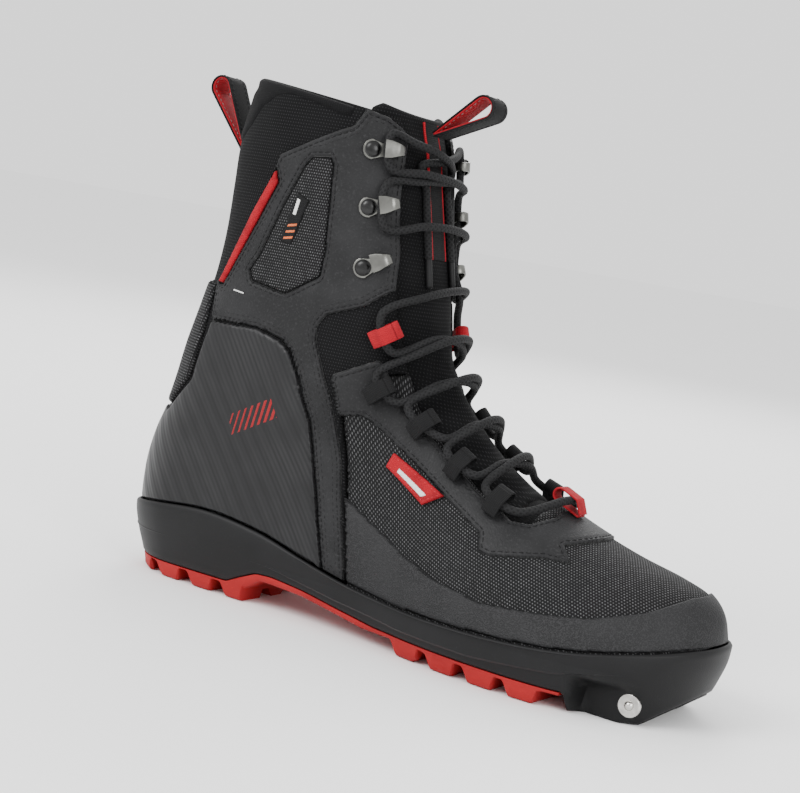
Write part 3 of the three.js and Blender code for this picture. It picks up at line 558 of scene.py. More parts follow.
class Paint:
    """A node material: a Principled shader and short helpers for the nodes that drive it."""

    def __init__(self, name, colour, roughness, **settings):
        self.material = bpy.data.materials.new(name)
        self.material.use_nodes = True
        self.nodes = self.material.node_tree.nodes
        self.links = self.material.node_tree.links
        self.shader = self.nodes["Principled BSDF"]
        self.shader.inputs["Base Color"].default_value = (*linear(colour), 1)
        self.shader.inputs["Roughness"].default_value = roughness
        self.shader.inputs["Specular IOR Level"].default_value = 0.25
        for key, value in settings.items():
            self.shader.inputs[key.replace("_", " ")].default_value = value
        self.base = colour
        self.height = None

    def plug(self, value, socket):
        if isinstance(value, (int, float)):
            socket.default_value = value
        elif isinstance(value, tuple):
            socket.default_value = value
        else:
            self.links.new(value, socket)

    def math(self, operation, a, b=0.0, c=0.0):
        node = self.nodes.new("ShaderNodeMath")
        node.operation = operation
        for value, socket in zip((a, b, c), node.inputs):
            self.plug(value, socket)
        return node.outputs[0]

    def cloth(self):
        """The uv map's two coordinates, in mm."""
        uv = self.nodes.new("ShaderNodeUVMap")
        uv.uv_map = "cloth"
        split = self.nodes.new("ShaderNodeSeparateXYZ")
        self.links.new(uv.outputs[0], split.inputs[0])
        return split.outputs[0], split.outputs[1]

    def place(self, scale=1.0):
        """Object coordinates, in mm times scale."""
        coordinate = self.nodes.new("ShaderNodeTexCoord")
        mapping = self.nodes.new("ShaderNodeMapping")
        mapping.inputs["Scale"].default_value = (1000 * scale,) * 3
        self.links.new(coordinate.outputs["Object"], mapping.inputs[0])
        return mapping.outputs[0]

    def grain(self, size, detail=2.0, roughness=0.5):
        """Noise with features of a size in mm, from 0 to 1."""
        node = self.nodes.new("ShaderNodeTexNoise")
        node.inputs["Scale"].default_value = 1.0
        node.inputs["Detail"].default_value = detail
        node.inputs["Roughness"].default_value = roughness
        self.links.new(self.place(1 / size), node.inputs["Vector"])
        return node.outputs[0]

    def cells(self, size, randomness=1.0):
        node = self.nodes.new("ShaderNodeTexVoronoi")
        node.inputs["Scale"].default_value = 1.0
        node.inputs["Randomness"].default_value = randomness
        self.links.new(self.place(1 / size), node.inputs["Vector"])
        return node.outputs["Distance"]

    def edge(self, width):
        """1 on the cut edge of a sheet, falling to 0 at a distance in mm."""
        node = self.nodes.new("ShaderNodeAttribute")
        node.attribute_name = "edge"
        return self.ramp(node.outputs["Fac"], width, 0.0)

    def ramp(self, value, low, high):
        node = self.nodes.new("ShaderNodeMapRange")
        node.interpolation_type = "SMOOTHSTEP"
        self.plug(value, node.inputs["Value"])
        node.inputs["From Min"].default_value = min(low, high)
        node.inputs["From Max"].default_value = max(low, high)
        node.inputs["To Min"].default_value = 0.0 if low < high else 1.0
        node.inputs["To Max"].default_value = 1.0 if low < high else 0.0
        return node.outputs["Result"]

    def dots(self, u, v, pitch, radius):
        """1 inside the round dots of a staggered pattern, 0 between them."""
        row = self.math("FLOOR", self.math("DIVIDE", v, pitch))
        shift = self.math("MULTIPLY", self.math("MODULO", row, 2.0), 0.5)
        across = self.math("ADD", self.math("DIVIDE", u, pitch), shift)
        x = self.math("SUBTRACT", self.math("FRACT", across), 0.5)
        y = self.math("SUBTRACT", self.math("FRACT", self.math("DIVIDE", v, pitch)), 0.5)
        square = self.math("ADD", self.math("MULTIPLY", x, x), self.math("MULTIPLY", y, y))
        return self.ramp(self.math("SQRT", square), radius * 1.25, radius * 0.75)

    def stripes(self, value, pitch, softness=0.5):
        """A wave from 0 to 1 with a pitch in mm."""
        wave = self.math("SINE", self.math("MULTIPLY", value, 2 * math.pi / pitch))
        return self.ramp(wave, -softness * 2, softness * 2)

    def mix(self, factor, a, b):
        node = self.nodes.new("ShaderNodeMix")
        node.data_type = "RGBA"
        self.plug(factor, node.inputs["Factor"])
        self.plug(a, node.inputs["A"])
        self.plug(b, node.inputs["B"])
        return node.outputs["Result"]

    def colour(self, *layers):
        """Colours laid over the base colour: pairs of a mask and a colour."""
        result = (*linear(self.base), 1)
        for mask, colour in layers:
            result = self.mix(mask, result, (*linear(colour), 1))
        self.plug(result, self.shader.inputs["Base Color"])

    def rough(self, mask, low, high):
        node = self.nodes.new("ShaderNodeMapRange")
        self.plug(mask, node.inputs["Value"])
        node.inputs["To Min"].default_value = low
        node.inputs["To Max"].default_value = high
        self.plug(node.outputs["Result"], self.shader.inputs["Roughness"])

    def bump(self, height, depth):
        """Relief: a value from 0 to 1 times a depth in mm. Several calls add up."""
        term = self.math("MULTIPLY", height, depth)
        self.height = term if self.height is None else self.math("ADD", self.height, term)

    def done(self, strength=1.0):
        if self.height is not None:
            node = self.nodes.new("ShaderNodeBump")
            node.inputs["Strength"].default_value = strength
            node.inputs["Distance"].default_value = 0.001
            self.plug(self.height, node.inputs["Height"])
            self.links.new(node.outputs[0], self.shader.inputs["Normal"])
        return self.material


def linear(colour):
    """Linear values of an sRGB colour given from 0 to 255."""
    c = np.array(colour, float) / 255
    return tuple(np.where(c <= 0.04045, c / 12.92, ((c + 0.055) / 1.055) ** 2.4))


def film_paint():
    paint = Paint("film", (22, 22, 23), 0.55, Specular_IOR_Level=0.18)
    grain = paint.grain(1.1, 4)
    cloud = paint.grain(22, 2)
    paint.colour((paint.ramp(cloud, 0.35, 0.75), (33, 33, 34)), (paint.ramp(grain, 0.5, 0.8), (41, 41, 42)),
                 (paint.edge(0.5), (62, 62, 62)))
    paint.rough(cloud, 0.46, 0.62)
    paint.bump(grain, 0.12)
    paint.bump(paint.cells(0.9), 0.10)
    return paint.done()


def rand_paint():
    paint = Paint("rand", (20, 20, 21), 0.62, Specular_IOR_Level=0.2)
    grain = paint.cells(0.62)
    cloud = paint.grain(30, 2)
    paint.colour((paint.ramp(cloud, 0.3, 0.8), (33, 33, 34)), (paint.ramp(grain, 0.35, 0.8), (42, 42, 43)),
                 (paint.edge(0.5), (50, 50, 51)))
    paint.rough(grain, 0.5, 0.7)
    paint.bump(grain, 0.26)
    return paint.done()


def carbon_paint():
    """Fibre tows running one way: fine ridges, in soft bands that reflect differently: the bands are glossier
    and painted lighter, a painted sheen.
    """
    paint = Paint("carbon", (21, 21, 22), 0.5, Specular_IOR_Level=0.2)
    u, v = paint.cloth()
    slant = paint.math("ADD", paint.math("MULTIPLY", u, 0.8), paint.math("MULTIPLY", v, 0.6))
    wander = paint.math("MULTIPLY", paint.grain(24, 2), 4.0)
    sheen_band = paint.stripes(paint.math("ADD", slant, wander), 7.5, 0.9)
    ridge = paint.stripes(slant, 2.3, 0.8)
    cloud = paint.ramp(paint.grain(30, 2), 0.35, 0.7)
    seen = paint.math("MULTIPLY", ridge, paint.math("ADD", paint.math("MULTIPLY", cloud, 0.7), 0.15))
    # The soft bands are painted lighter here: a painted sheen.
    paint.colour((paint.math("MULTIPLY", sheen_band, 0.7), (29, 29, 30)), (seen, (39, 39, 40)),
                 (paint.edge(0.5), (50, 50, 50)))
    paint.rough(sheen_band, 0.5, 0.36)
    paint.bump(ridge, 0.05)
    paint.bump(sheen_band, 0.12)
    return paint.done()


def mesh_paint():
    paint = Paint("mesh", (10, 10, 11), 0.85)
    u, v = paint.cloth()
    dots = paint.dots(u, v, 1.35, 0.26)
    shine = paint.ramp(paint.grain(2.2, 2), 0.35, 0.7)
    lit = paint.math("MULTIPLY", dots, paint.math("ADD", paint.math("MULTIPLY", shine, 0.6), 0.4))
    paint.colour((paint.ramp(paint.grain(26, 1), 0.3, 0.8), (15, 15, 16)), (lit, (82, 82, 83)))
    paint.rough(dots, 0.9, 0.6)
    paint.bump(dots, 0.30)
    paint.bump(paint.grain(0.5, 2), 0.1)
    return paint.done()


def softshell_paint(name, base, dot, pitch=1.5):
    paint = Paint(name, base, 0.88, Specular_IOR_Level=0.15)
    u, v = paint.cloth()
    dots = paint.dots(u, v, pitch, 0.2)
    paint.colour((paint.ramp(paint.grain(18, 2), 0.3, 0.8), tuple(c + 4 for c in base)),
                 (paint.math("MULTIPLY", dots, 0.8), dot))
    paint.rough(dots, 0.92, 0.75)
    paint.bump(dots, -0.22)
    paint.bump(paint.grain(0.45, 2), 0.12)
    return paint.done()


def knit_paint(name, base, ribs=1.1):
    paint = Paint(name, base, 0.9, Specular_IOR_Level=0.15)
    u, v = paint.cloth()
    rib = paint.stripes(u, ribs, 0.5)
    course = paint.stripes(paint.math("ADD", v, paint.math("MULTIPLY", rib, ribs * 0.4)), 0.8, 0.5)
    weave = paint.math("MULTIPLY", rib, course)
    paint.colour((weave, tuple(c + 12 for c in base)), (paint.ramp(paint.grain(24, 2), 0.4, 0.8),
                                                        tuple(c + 5 for c in base)))
    paint.bump(weave, 0.14)
    return paint.done()


def frame_paint():
    paint = Paint("frame", (8, 8, 9), 0.52, Specular_IOR_Level=0.22)
    cloud = paint.grain(35, 2)
    speck = paint.grain(0.6, 2)
    paint.colour((paint.ramp(cloud, 0.3, 0.8), (19, 19, 20)), (paint.ramp(speck, 0.62, 0.8), (30, 30, 31)))
    paint.rough(cloud, 0.42, 0.6)
    paint.bump(speck, 0.05)
    return paint.done()


def rubber_paint():
    paint = Paint("outsole", (150, 22, 24), 0.62)
    cloud = paint.grain(20, 3)
    speck = paint.grain(0.8, 2)
    paint.colour((paint.ramp(cloud, 0.35, 0.75), (136, 17, 19)),
                 (paint.ramp(speck, 0.6, 0.8), (164, 34, 34)))
    paint.rough(cloud, 0.55, 0.72)
    paint.bump(speck, 0.08)
    return paint.done()


def webbing_paint(name, base, light, pitch=0.9):
    paint = Paint(name, base, 0.8)
    u, v = paint.cloth()
    warp = paint.stripes(v, pitch, 0.5)
    weft = paint.stripes(paint.math("ADD", u, paint.math("MULTIPLY", warp, pitch * 0.5)), pitch * 0.8, 0.5)
    weave = paint.math("MULTIPLY", warp, weft)
    worn = tuple(int(c * 0.85) for c in base)
    paint.colour((weave, light), (paint.ramp(paint.grain(9, 2), 0.4, 0.8), worn))
    paint.bump(weave, 0.16)
    paint.bump(paint.grain(0.4, 2), 0.06)
    return paint.done()


def lace_paint():
    paint = Paint("lace", (6, 6, 7), 0.8)
    u, v = paint.cloth()
    one = paint.stripes(paint.math("ADD", u, v), 2.6, 0.5)
    two = paint.stripes(paint.math("SUBTRACT", u, v), 2.6, 0.5)
    braid = paint.math("MAXIMUM", one, two)
    paint.colour((braid, (24, 24, 25)), (paint.ramp(paint.grain(8, 2), 0.5, 0.8), (15, 15, 16)))
    paint.bump(braid, 0.22)
    paint.bump(paint.grain(0.4, 1), 0.06)
    return paint.done()


def thread_paint(name, base):
    paint = Paint(name, base, 0.7)
    paint.colour((paint.ramp(paint.grain(0.7, 2), 0.4, 0.7), tuple(min(c + 24, 255) for c in base)))
    paint.bump(paint.grain(0.35, 2), 0.08)
    return paint.done()


def metal_paint(name, base, roughness):
    paint = Paint(name, base, roughness, Metallic=1.0, Specular_IOR_Level=0.5)
    scratch = paint.grain(0.7, 4)
    cloud = paint.grain(5, 2)
    paint.colour((paint.ramp(cloud, 0.3, 0.8), tuple(int(c * 0.82) for c in base)))
    paint.rough(cloud, roughness - 0.08, roughness + 0.12)
    paint.bump(scratch, 0.02)
    return paint.done()


def plain_paint(name, base, roughness):
    paint = Paint(name, base, roughness)
    paint.colour((paint.ramp(paint.grain(0.8, 2), 0.4, 0.8), tuple(int(c * 0.88) for c in base)))
    paint.bump(paint.grain(0.5, 2), 0.04)
    return paint.done()


FILM, RAND_PAINT, CARBON, MESH = film_paint(), rand_paint(), carbon_paint(), mesh_paint()
SOFTSHELL = softshell_paint("softshell", (8, 8, 9), (38, 38, 39))
TONGUE_CLOTH = softshell_paint("tongue_cloth", (7, 7, 8), (32, 32, 33), 1.7)
COLLAR_KNIT = knit_paint("collar_knit", (9, 9, 10))
LINING = knit_paint("lining", (8, 8, 9), 1.6)
FRAME_PAINT, RUBBER = frame_paint(), rubber_paint()
RED_WEB = webbing_paint("red_webbing", (146, 6, 22), (172, 24, 38))
BLACK_WEB = webbing_paint("black_webbing", (5, 5, 6), (19, 19, 20))
LACE_PAINT = lace_paint()
THREAD = thread_paint("thread", (6, 6, 7))
PALE_THREAD = thread_paint("pale_thread", (96, 88, 86))
NICKEL = metal_paint("nickel", (112, 112, 108), 0.3)
DARK_NICKEL = metal_paint("dark_nickel", (52, 52, 52), 0.3)
STEEL = metal_paint("steel", (205, 203, 198), 0.22)
RING_STEEL = metal_paint("ring_steel", (66, 56, 44), 0.38)
RED_PRINT = plain_paint("red_print", (132, 14, 20), 0.5)
PALE_PRINT = plain_paint("pale_print", (214, 214, 212), 0.5)
ORANGE_PRINT = plain_paint("orange_print", (190, 96, 52), 0.6)

# ---------------------------------------------------------------- the upper

UPPER = (-2.0, 0.0)
FILM_HEIGHT = (0.05, 1.3)
COUNTER_HEIGHT = (0.05, 1.75)
REAR_HEIGHT = (0.05, 2.3)
WINDOW_HEIGHT = (0.05, 0.7)
COLLAR_MARGIN = 2.4
RIB_PITCH = 2.1
LINER_HEIGHT = (-6.6, -4.2)
TAG_HEIGHT, TAG_BAR_HEIGHT = (1.3, 2.3), (2.28, 2.4)
LABEL_HEIGHT, LABEL_MARK_HEIGHT = (0.7, 1.35), (1.33, 1.45)
COUNTER_PRINT_HEIGHT, FILM_PRINT_HEIGHT = (1.7, 1.83), (1.25, 1.38)
HEEL_TAB_HEIGHT = (0.1, 1.7)
RIBBON_HEIGHT, RIBBON_EDGE_HEIGHT, RIBBON_HALF = (-2.7, -1.8), (-2.5, -1.55), 7
PIPING_HEIGHT = (0.05, 2.2)

throat = polygon(in_front_of(THROAT_EDGE))
collar_area = polygon(COLLAR_SEAM)
counter_area = polygon(COUNTER_EDGE)
window_area = polygon(WINDOW)
piping_area = polygon(PIPING_EDGE)


def under_collar(p):
    """The collar's area without the margin where it is sewn to the cloth."""
    return collar_area(p) - COLLAR_MARGIN


def groove(at, depth=0.35, width=0.55):
    """A stitched groove that runs at a distance from the edge."""
    return lambda p, d: -depth * np.exp(-(((d - at) / width) ** 2))


def make_cloth():
    forefoot = polygon([(x + 0.2, z) for x, z in VAMP_SEAM])
    vamp = Grid((0, 9), (-1, 1), without(forefoot, throat), 1.5)
    skin("vamp_mesh", vamp, UPPER, MESH, "mesh", ["vamp"], mapping="fore", round_off=1.0)
    leg = without(above_feather, polygon(VAMP_SEAM), throat, under_collar)
    shaft = Grid((6, SHAFT_TOP), (-1, 1), leg, 1.5)
    skin("shaft_cloth", shaft, UPPER, SOFTSHELL, "softshell", ["shaft_softshell"], mapping="leg",
         round_off=1.0)


def make_vamp_film():
    grid = Grid((3, 9.4), (-1, 1), both(polygon(VAMP_FILM), without(above_feather, throat)), 1.1)
    skin("vamp_film", grid, FILM_HEIGHT, FILM, "film", ["vamp_overlay"], relief=groove(2.2))
    stitches("vamp_film_stitches", grid.lines(2.2), FILM_HEIGHT[1] - 0.12, THREAD)


def make_rand():
    grid = Grid((0, 8), (-1, 1), both(polygon(RAND), above_feather), 1.2)
    skin("toe_rand_skin", grid, FILM_HEIGHT, RAND_PAINT, "rand", ["toe_rand"], round_off=0.8)


def make_counter():
    grid = Grid((6, 12), (-1, 1), both(counter_area, above_feather), 1.3)
    skin("heel_counter_skin", grid, COUNTER_HEIGHT, CARBON, "carbon", ["heel_counter"], round_off=1.2)


def make_rear_panel():
    grid = Grid((8.6, 12), (-1, 1), polygon(REAR_EDGE), 1.3)
    skin("rear_mesh", grid, REAR_HEIGHT, MESH, "mesh", ["rear_panel"], mapping="leg", round_off=2.2)


def piping_ribs(p, d):
    """Fine ribs that run slantwise over the piping."""
    return 0.22 * np.sin((p[:, 2] * 0.8 - p[:, 0] * 0.6) * 2 * np.pi / RIB_PITCH)


def round_window(line):
    """Whether a line of stitches runs round the window."""
    middle = surface(*np.asarray(line, float).T[:2]).mean(axis=0)
    return np.hypot(middle[0] + 72, middle[2] - 187) < 15


def make_side(side, name):
    columns = (-1, 0) if side < 0 else (0, 1)
    whole = both(polygon(QUARTER), above_feather)
    field = without(whole, collar_area, counter_area, window_area, piping_area, gap=SEAM_GAP)
    quarter = Grid((6, SHAFT_TOP), columns, field, 1.1)
    skin(f"quarter_film_{name}", quarter, FILM_HEIGHT, FILM, "film", [f"quarter_overlay_{name}"],
         relief=groove(2.0))
    lines = quarter.lines(2.0) + [line for line in quarter.lines(4.2, 60) if not round_window(line)]
    stitches(f"quarter_stitches_{name}", lines, FILM_HEIGHT[1] - 0.1, THREAD)
    window = Grid((9, SHAFT_TOP), columns, window_area, 1.2)
    skin(f"window_cloth_{name}", window, WINDOW_HEIGHT, MESH, "mesh", [f"window_mesh_{name}"])
    piping = Grid((9, SHAFT_TOP), columns, piping_area, 0.8)
    skin(f"piping_ribs_{name}", piping, PIPING_HEIGHT, RED_WEB, "red_webbing", [f"piping_{name}"],
         round_off=2.4, relief=piping_ribs)


def make_liner():
    front = polygon(in_front_of([(x - 13, z - 7) for x, z in TONGUE_EDGE]))
    grid = Grid((0, SHAFT_TOP - 0.3), (-1, 1), without(above_feather, front, under_collar), 3)
    skin("lining_cloth", grid, LINER_HEIGHT, LINING, "lining", ["liner"], mapping="leg", round_off=1.0)


# ---------------------------------------------------------------- padded pieces

# Each pad's middle height and half thickness, and how far its rounded edge reaches in half thicknesses.
COLLAR_PAD, TONGUE_PAD, PAD_ROUND = (-1.9, 3.1), (-5.6, 2.8), 1.5
RIM, RIM_FOLD, RIM_DEPTH = 6.0, 1.3, 0.42


def pad_shape(name, grid, middle, half, material, slot, stands_for, body, puff=None):
    """A pad of thickness 2 * half round a middle height, with a fully rounded edge."""
    def surfaces(p, d, arc):
        profile = quarter_round(d, half * PAD_ROUND) * half
        if puff is not None:
            profile = profile * puff(p)
        return middle + profile, middle - profile

    obj = closed_sheet(name, grid, "leg", surfaces, material, slot, stands_for, body, keep_edge=False)
    return obj


def inflate(obj, pressure, cap, pinned):
    """Blows a pad up as cloth, with the vertices held where pinned says, and moves each vertex at most
    cap millimetres. The result is written into the mesh."""
    scene = bpy.context.scene
    rest = np.zeros(len(obj.data.vertices) * 3)
    obj.data.vertices.foreach_get("co", rest)
    rest = rest.reshape(-1, 3)
    group = obj.vertex_groups.new(name="held")
    held = np.where(pinned(rest * 1000 - SHIFT))[0]
    group.add([int(k) for k in held], 1.0, "REPLACE")
    cloth = obj.modifiers.new("cloth", "CLOTH")
    settings = cloth.settings
    settings.quality = 6
    settings.mass = 0.15
    settings.tension_stiffness = 12
    settings.compression_stiffness = 4
    settings.shear_stiffness = 6
    settings.bending_stiffness = 0.4
    settings.use_pressure = True
    settings.uniform_pressure_force = pressure
    settings.vertex_group_mass = "held"
    settings.effector_weights.gravity = 0
    cloth.point_cache.frame_start = 1
    cloth.point_cache.frame_end = 20
    for number in range(1, 21):
        scene.frame_set(number)
    evaluated = obj.evaluated_get(bpy.context.evaluated_depsgraph_get())
    moved = np.zeros(len(rest) * 3)
    evaluated.data.vertices.foreach_get("co", moved)
    step = moved.reshape(-1, 3) - rest
    size = np.maximum(np.linalg.norm(step, axis=1, keepdims=True), 1e-9)
    step *= np.minimum(1, cap / 1000 / size)
    obj.modifiers.remove(cloth)
    scene.frame_set(1)
    obj.data.vertices.foreach_set("co", (rest + step).ravel())
    obj.data.update()


def smooth_once(obj):
    """One subdivision, written into the mesh."""
    modifier = obj.modifiers.new("subdivision", "SUBSURF")
    modifier.levels = 1
    modifier.render_levels = 1
    evaluated = obj.evaluated_get(bpy.context.evaluated_depsgraph_get())
    mesh = bpy.data.meshes.new_from_object(evaluated)
    obj.modifiers.remove(modifier)
    obj.data = mesh


def top_limit(top):
    """Distance down from the row that ends a pad."""
    def field(p):
        f, e = ROWS[int(top)], ROWS[int(top) + 1]
        share = top - int(top)
        front = f[:2] + (e[:2] - f[:2]) * share
        end = f[2:] + (e[2:] - f[2:]) * share
        run = (end - front) / np.linalg.norm(end - front)
        return run[0] * (p[..., 2] - front[1]) - run[1] * (p[..., 0] - front[0])

    def below(p):
        value = field(p)
        return value if value.mean() > 0 else -value

    return below


def make_collar():
    depth = top_limit(SHAFT_TOP - 0.02)
    grid = Grid((COLLAR_ROW - 0.9, SHAFT_TOP), (-1, 1), both(collar_area, depth), 2.0)

    def rolled(p):
        """A fold under the rolled upper rim."""
        return 1 - RIM_DEPTH * np.exp(-(((depth(p) - RIM) / RIM_FOLD) ** 2))

    obj = pad_shape("collar_padding", grid, *COLLAR_PAD, COLLAR_KNIT, "lining", ["collar_pad"], "shell",
                    rolled)
    inflate(obj, 3.0, 0.9, lambda p: p[:, 2] < 222)
    smooth_once(obj)


def make_tongue():
    grid = Grid((THROAT_ROW, TONGUE_TOP), (-0.62, 0.62), both(
        polygon(in_front_of(TONGUE_EDGE)), top_limit(TONGUE_TOP - 0.02)), 2.6)
    obj = pad_shape("tongue_padding", grid, *TONGUE_PAD, TONGUE_CLOTH, "lining", ["tongue"], "tongue")
    inflate(obj, 2.0, 0.5, lambda p: p[:, 2] < 82)
    smooth_once(obj)
    rows, columns = (10.4, 14.2), (-0.16, 0.16)
    ribbon = Grid(rows, columns, lambda p: RIBBON_HALF - np.abs(p[..., 1]), 1.1)
    skin("tongue_ribbon_strip", ribbon, RIBBON_HEIGHT, BLACK_WEB, "black_webbing", ["tongue_ribbon"],
         body="tongue", mapping="leg", round_off=0.5)
    for side, name in SIDES:
        line = side * (RIBBON_HALF - 0.7)
        edge = Grid(rows, columns, lambda p: 0.7 - np.abs(p[..., 1] - line), 0.5)
        skin(f"ribbon_edge_{name}", edge, RIBBON_EDGE_HEIGHT, RED_WEB, "red_webbing", body="tongue",
             mapping="leg", round_off=0.5)


# ---------------------------------------------------------------- the sole

BAR = {"x": 129.5, "y": 6.2, "z": 9.0, "radius": 2.3, "half": 34.6}
BLOCK = {"from": 107, "half": 33, "top": 17}
SLOT = {"from": 118, "to": 141, "half": 14, "top": 17}
GROOVE = {"inner": 8, "outer": 14, "depth": 4.5}
LUG_PITCH, LUG_BASE, LUG_FLANK, WAIST = 20.7, 7.2, 3, 3
LUGS = [(-150, 4, 11), (14, 4, 12)]
OUTSOLE_TOE = 103.5
SOLE_WELD = 3e-5
FRAME_UNDERSIDE = [
    (-165, 7.5), (-84, 8.5), (-76, 12.5), (-66, 17), (-57, 17.5), (-38, 15.5), (-20, 12.5), (3, 9.5),
    (22, 9), (104, 9), (106, 0.3), (133, 0.3), (140, 6), (150, 14), (157, 22), (163, 32),
]
FLOOR = [
    (-165, 20), (-100, 22.5), (-60, 21.5), (-20, 16.5), (20, 13.5), (60, 13.5), (100, 17), (118, 20.5),
    (141, 23.5), (165, 27),
]
frame_wall = through([(-2, -6.5), (8, -4), (20, 0.4), (31, 3.2), (50, 3.2)])
outsole_wall = through([(-2, -6.6), (8, -4.3), (20, 0.1)])


def broken(pairs, soften=0.5):
    """A function through pairs that is straight between them, with corners softened over a length."""
    xs, ys = np.array(pairs, float).T
    return lambda x: sum(np.interp(x + k * soften, xs, ys) for k in (-1, -0.5, 0, 0.5, 1)) / 5


def stations(extra=(), to=TOE_X, count=150):
    """Angles round the plan outline at which the sole is sectioned, from the heel to x = to."""
    length = TOE_X - HEEL_X
    angles = np.linspace(0, math.pi, count)
    marks = [math.acos(1 - 2 * (x - HEEL_X) / length) for x in extra if HEEL_X < x < TOE_X]
    angles = np.unique(np.concatenate([angles, marks]))
    last = math.acos(1 - 2 * (to - HEEL_X) / length)
    return np.append(angles[angles < last - 1e-6], last)


def outline(angle, side):
    x = HEEL_X + (TOE_X - HEEL_X) * (1 - np.cos(angle)) / 2
    half = plan_width(x) * dome((x - HEEL_X) / HEEL_ROUND, 2.2)
    return np.stack([x, centre_line(x) + side * half], -1)


def offset(angle, side, distance):
    """The plan outline moved outwards by a distance."""
    inner = np.clip(angle, 0.012, math.pi - 0.012)
    run = unit(outline(inner + 0.01, side) - outline(inner - 0.01, side))
    normal = np.stack([run[..., 1], -run[..., 0]], -1) * -side
    tip = np.array([np.sign(angle - 1.5), 0.0])
    if angle < 0.012 or angle > math.pi - 0.012:
        normal = tip
    return outline(angle, side) + normal * distance


def beside_bar(xy, z):
    """Flattens the frame's low sides to two faces beside the toe bar."""
    x, y = xy
    amount = ease((x - BLOCK["from"] + 2) / 4) * (1 - ease((z - BLOCK["top"] + 5) / 8))
    flat = np.clip(y, BAR["y"] - BLOCK["half"], BAR["y"] + BLOCK["half"])
    return np.array([x, y + (flat - y) * amount])


def axis_y(x):
    """The line from the heel's middle to the bar's middle, along which the grooves run."""
    return BAR["y"] * (x - HEEL_X) / (BAR["x"] - HEEL_X)


ACROSS = [-34, -26, -19, -14.06, -14, -8.06, -8, -4, 0, 4, 8, 8.06, 14, 14.06, 19, 26, 34]


def underside(start, end, low):
    """Points across the underside between two edge points, at the height low(x, offset from the axis)."""
    points = []
    for across in ACROSS if start[1] < end[1] else ACROSS[::-1]:
        middle = axis_y((start[0] + end[0]) / 2)
        y = np.clip(middle + across, min(start[1], end[1]), max(start[1], end[1]))
        share = 0.5 if start[1] == end[1] else (y - start[1]) / (end[1] - start[1])
        x = start[0] + (end[0] - start[0]) * share
        points.append((x, y, low(x, across)))
    return points


def between(start, end, count):
    """Points on a straight line, without its ends."""
    return list(np.array(start) + (np.array(end) - start) * np.linspace(0, 1, count)[1:-1, None])


def in_groove(across):
    return GROOVE["inner"] <= abs(across) <= GROOVE["outer"]


def make_frame():
    under = broken(FRAME_UNDERSIDE)

    def low(x, across):
        z = under(x)
        if SLOT["from"] <= x <= SLOT["to"] and abs(across) <= SLOT["half"]:
            return SLOT["top"]
        return max(z, GROOVE["depth"]) if in_groove(across) else z

    def wall(angle, side):
        """From the bottom edge over the top lip to the foot of the inner wall."""
        bottom = under(offset(angle, side, 0)[0])
        for _ in range(8):
            bottom = under(offset(angle, side, frame_wall(bottom))[0])
        top = feather(offset(angle, side, 1.0)[0]) - 0.3
        section = [(bottom, frame_wall(bottom) - 1.3), (bottom + 0.35, frame_wall(bottom) - 0.45)]
        section += [(z, frame_wall(z)) for z in np.linspace(bottom + 1.2, top - 1.3, 12)]
        section += [(top - 1.3 + 1.3 * math.sin(a), 1.9 + 1.3 * math.cos(a)) for a in (0.4, 0.8, 1.2, 1.57)]
        section += [(top - 0.4, 1.35), (top - 1.5, 1.3)]
        floor = np.interp(offset(angle, side, 1.3)[0], *np.array(FLOOR).T)
        section += [(min(floor + 1, top - 2), 1.3), (min(floor, top - 3), 0.3)]
        points = []
        for z, distance in section:
            x, y = beside_bar(offset(angle, side, distance), z)
            points.append((x, y, z))
        return points

    edges = [104, 106, 133, 140, 150]
    edges += [x + k for x in (SLOT["from"], SLOT["to"]) for k in (-0.05, 0.05)]
    loops = []
    for angle in stations(edges):
        outer, inner = wall(angle, -1), wall(angle, 1)
        floor = between(outer[-1], inner[-1], 9)
        loops.append(outer + floor + inner[::-1] + underside(inner[0], outer[0], low))
    obj = loft("sole_frame_moulding", loops, FRAME_PAINT, "shell", "frame", ["sole_frame"])
    sharpen(weld(obj, SOLE_WELD), 40)


def lug_profile():
    """The outsole's underside: lugs at heel and forefoot and a thin sheet under the waist."""
    def lugs(start, count, tip):
        points = []
        for i in range(count):
            x = start + i * LUG_PITCH
            points += [(x, LUG_BASE), (x + LUG_FLANK, 0), (x + LUG_FLANK + tip, 0)]
            points.append((x + tip + 1.5 * LUG_FLANK, LUG_BASE))
        return points

    waist = [(-75, 9.2 - WAIST), (-64, 16.6 - WAIST), (-40, 15.2 - WAIST), (-4, 9.8 - WAIST), (10, 7)]
    return [(-165, LUG_BASE), *lugs(*LUGS[0]), *waist, *lugs(*LUGS[1]), (OUTSOLE_TOE, LUG_BASE)]


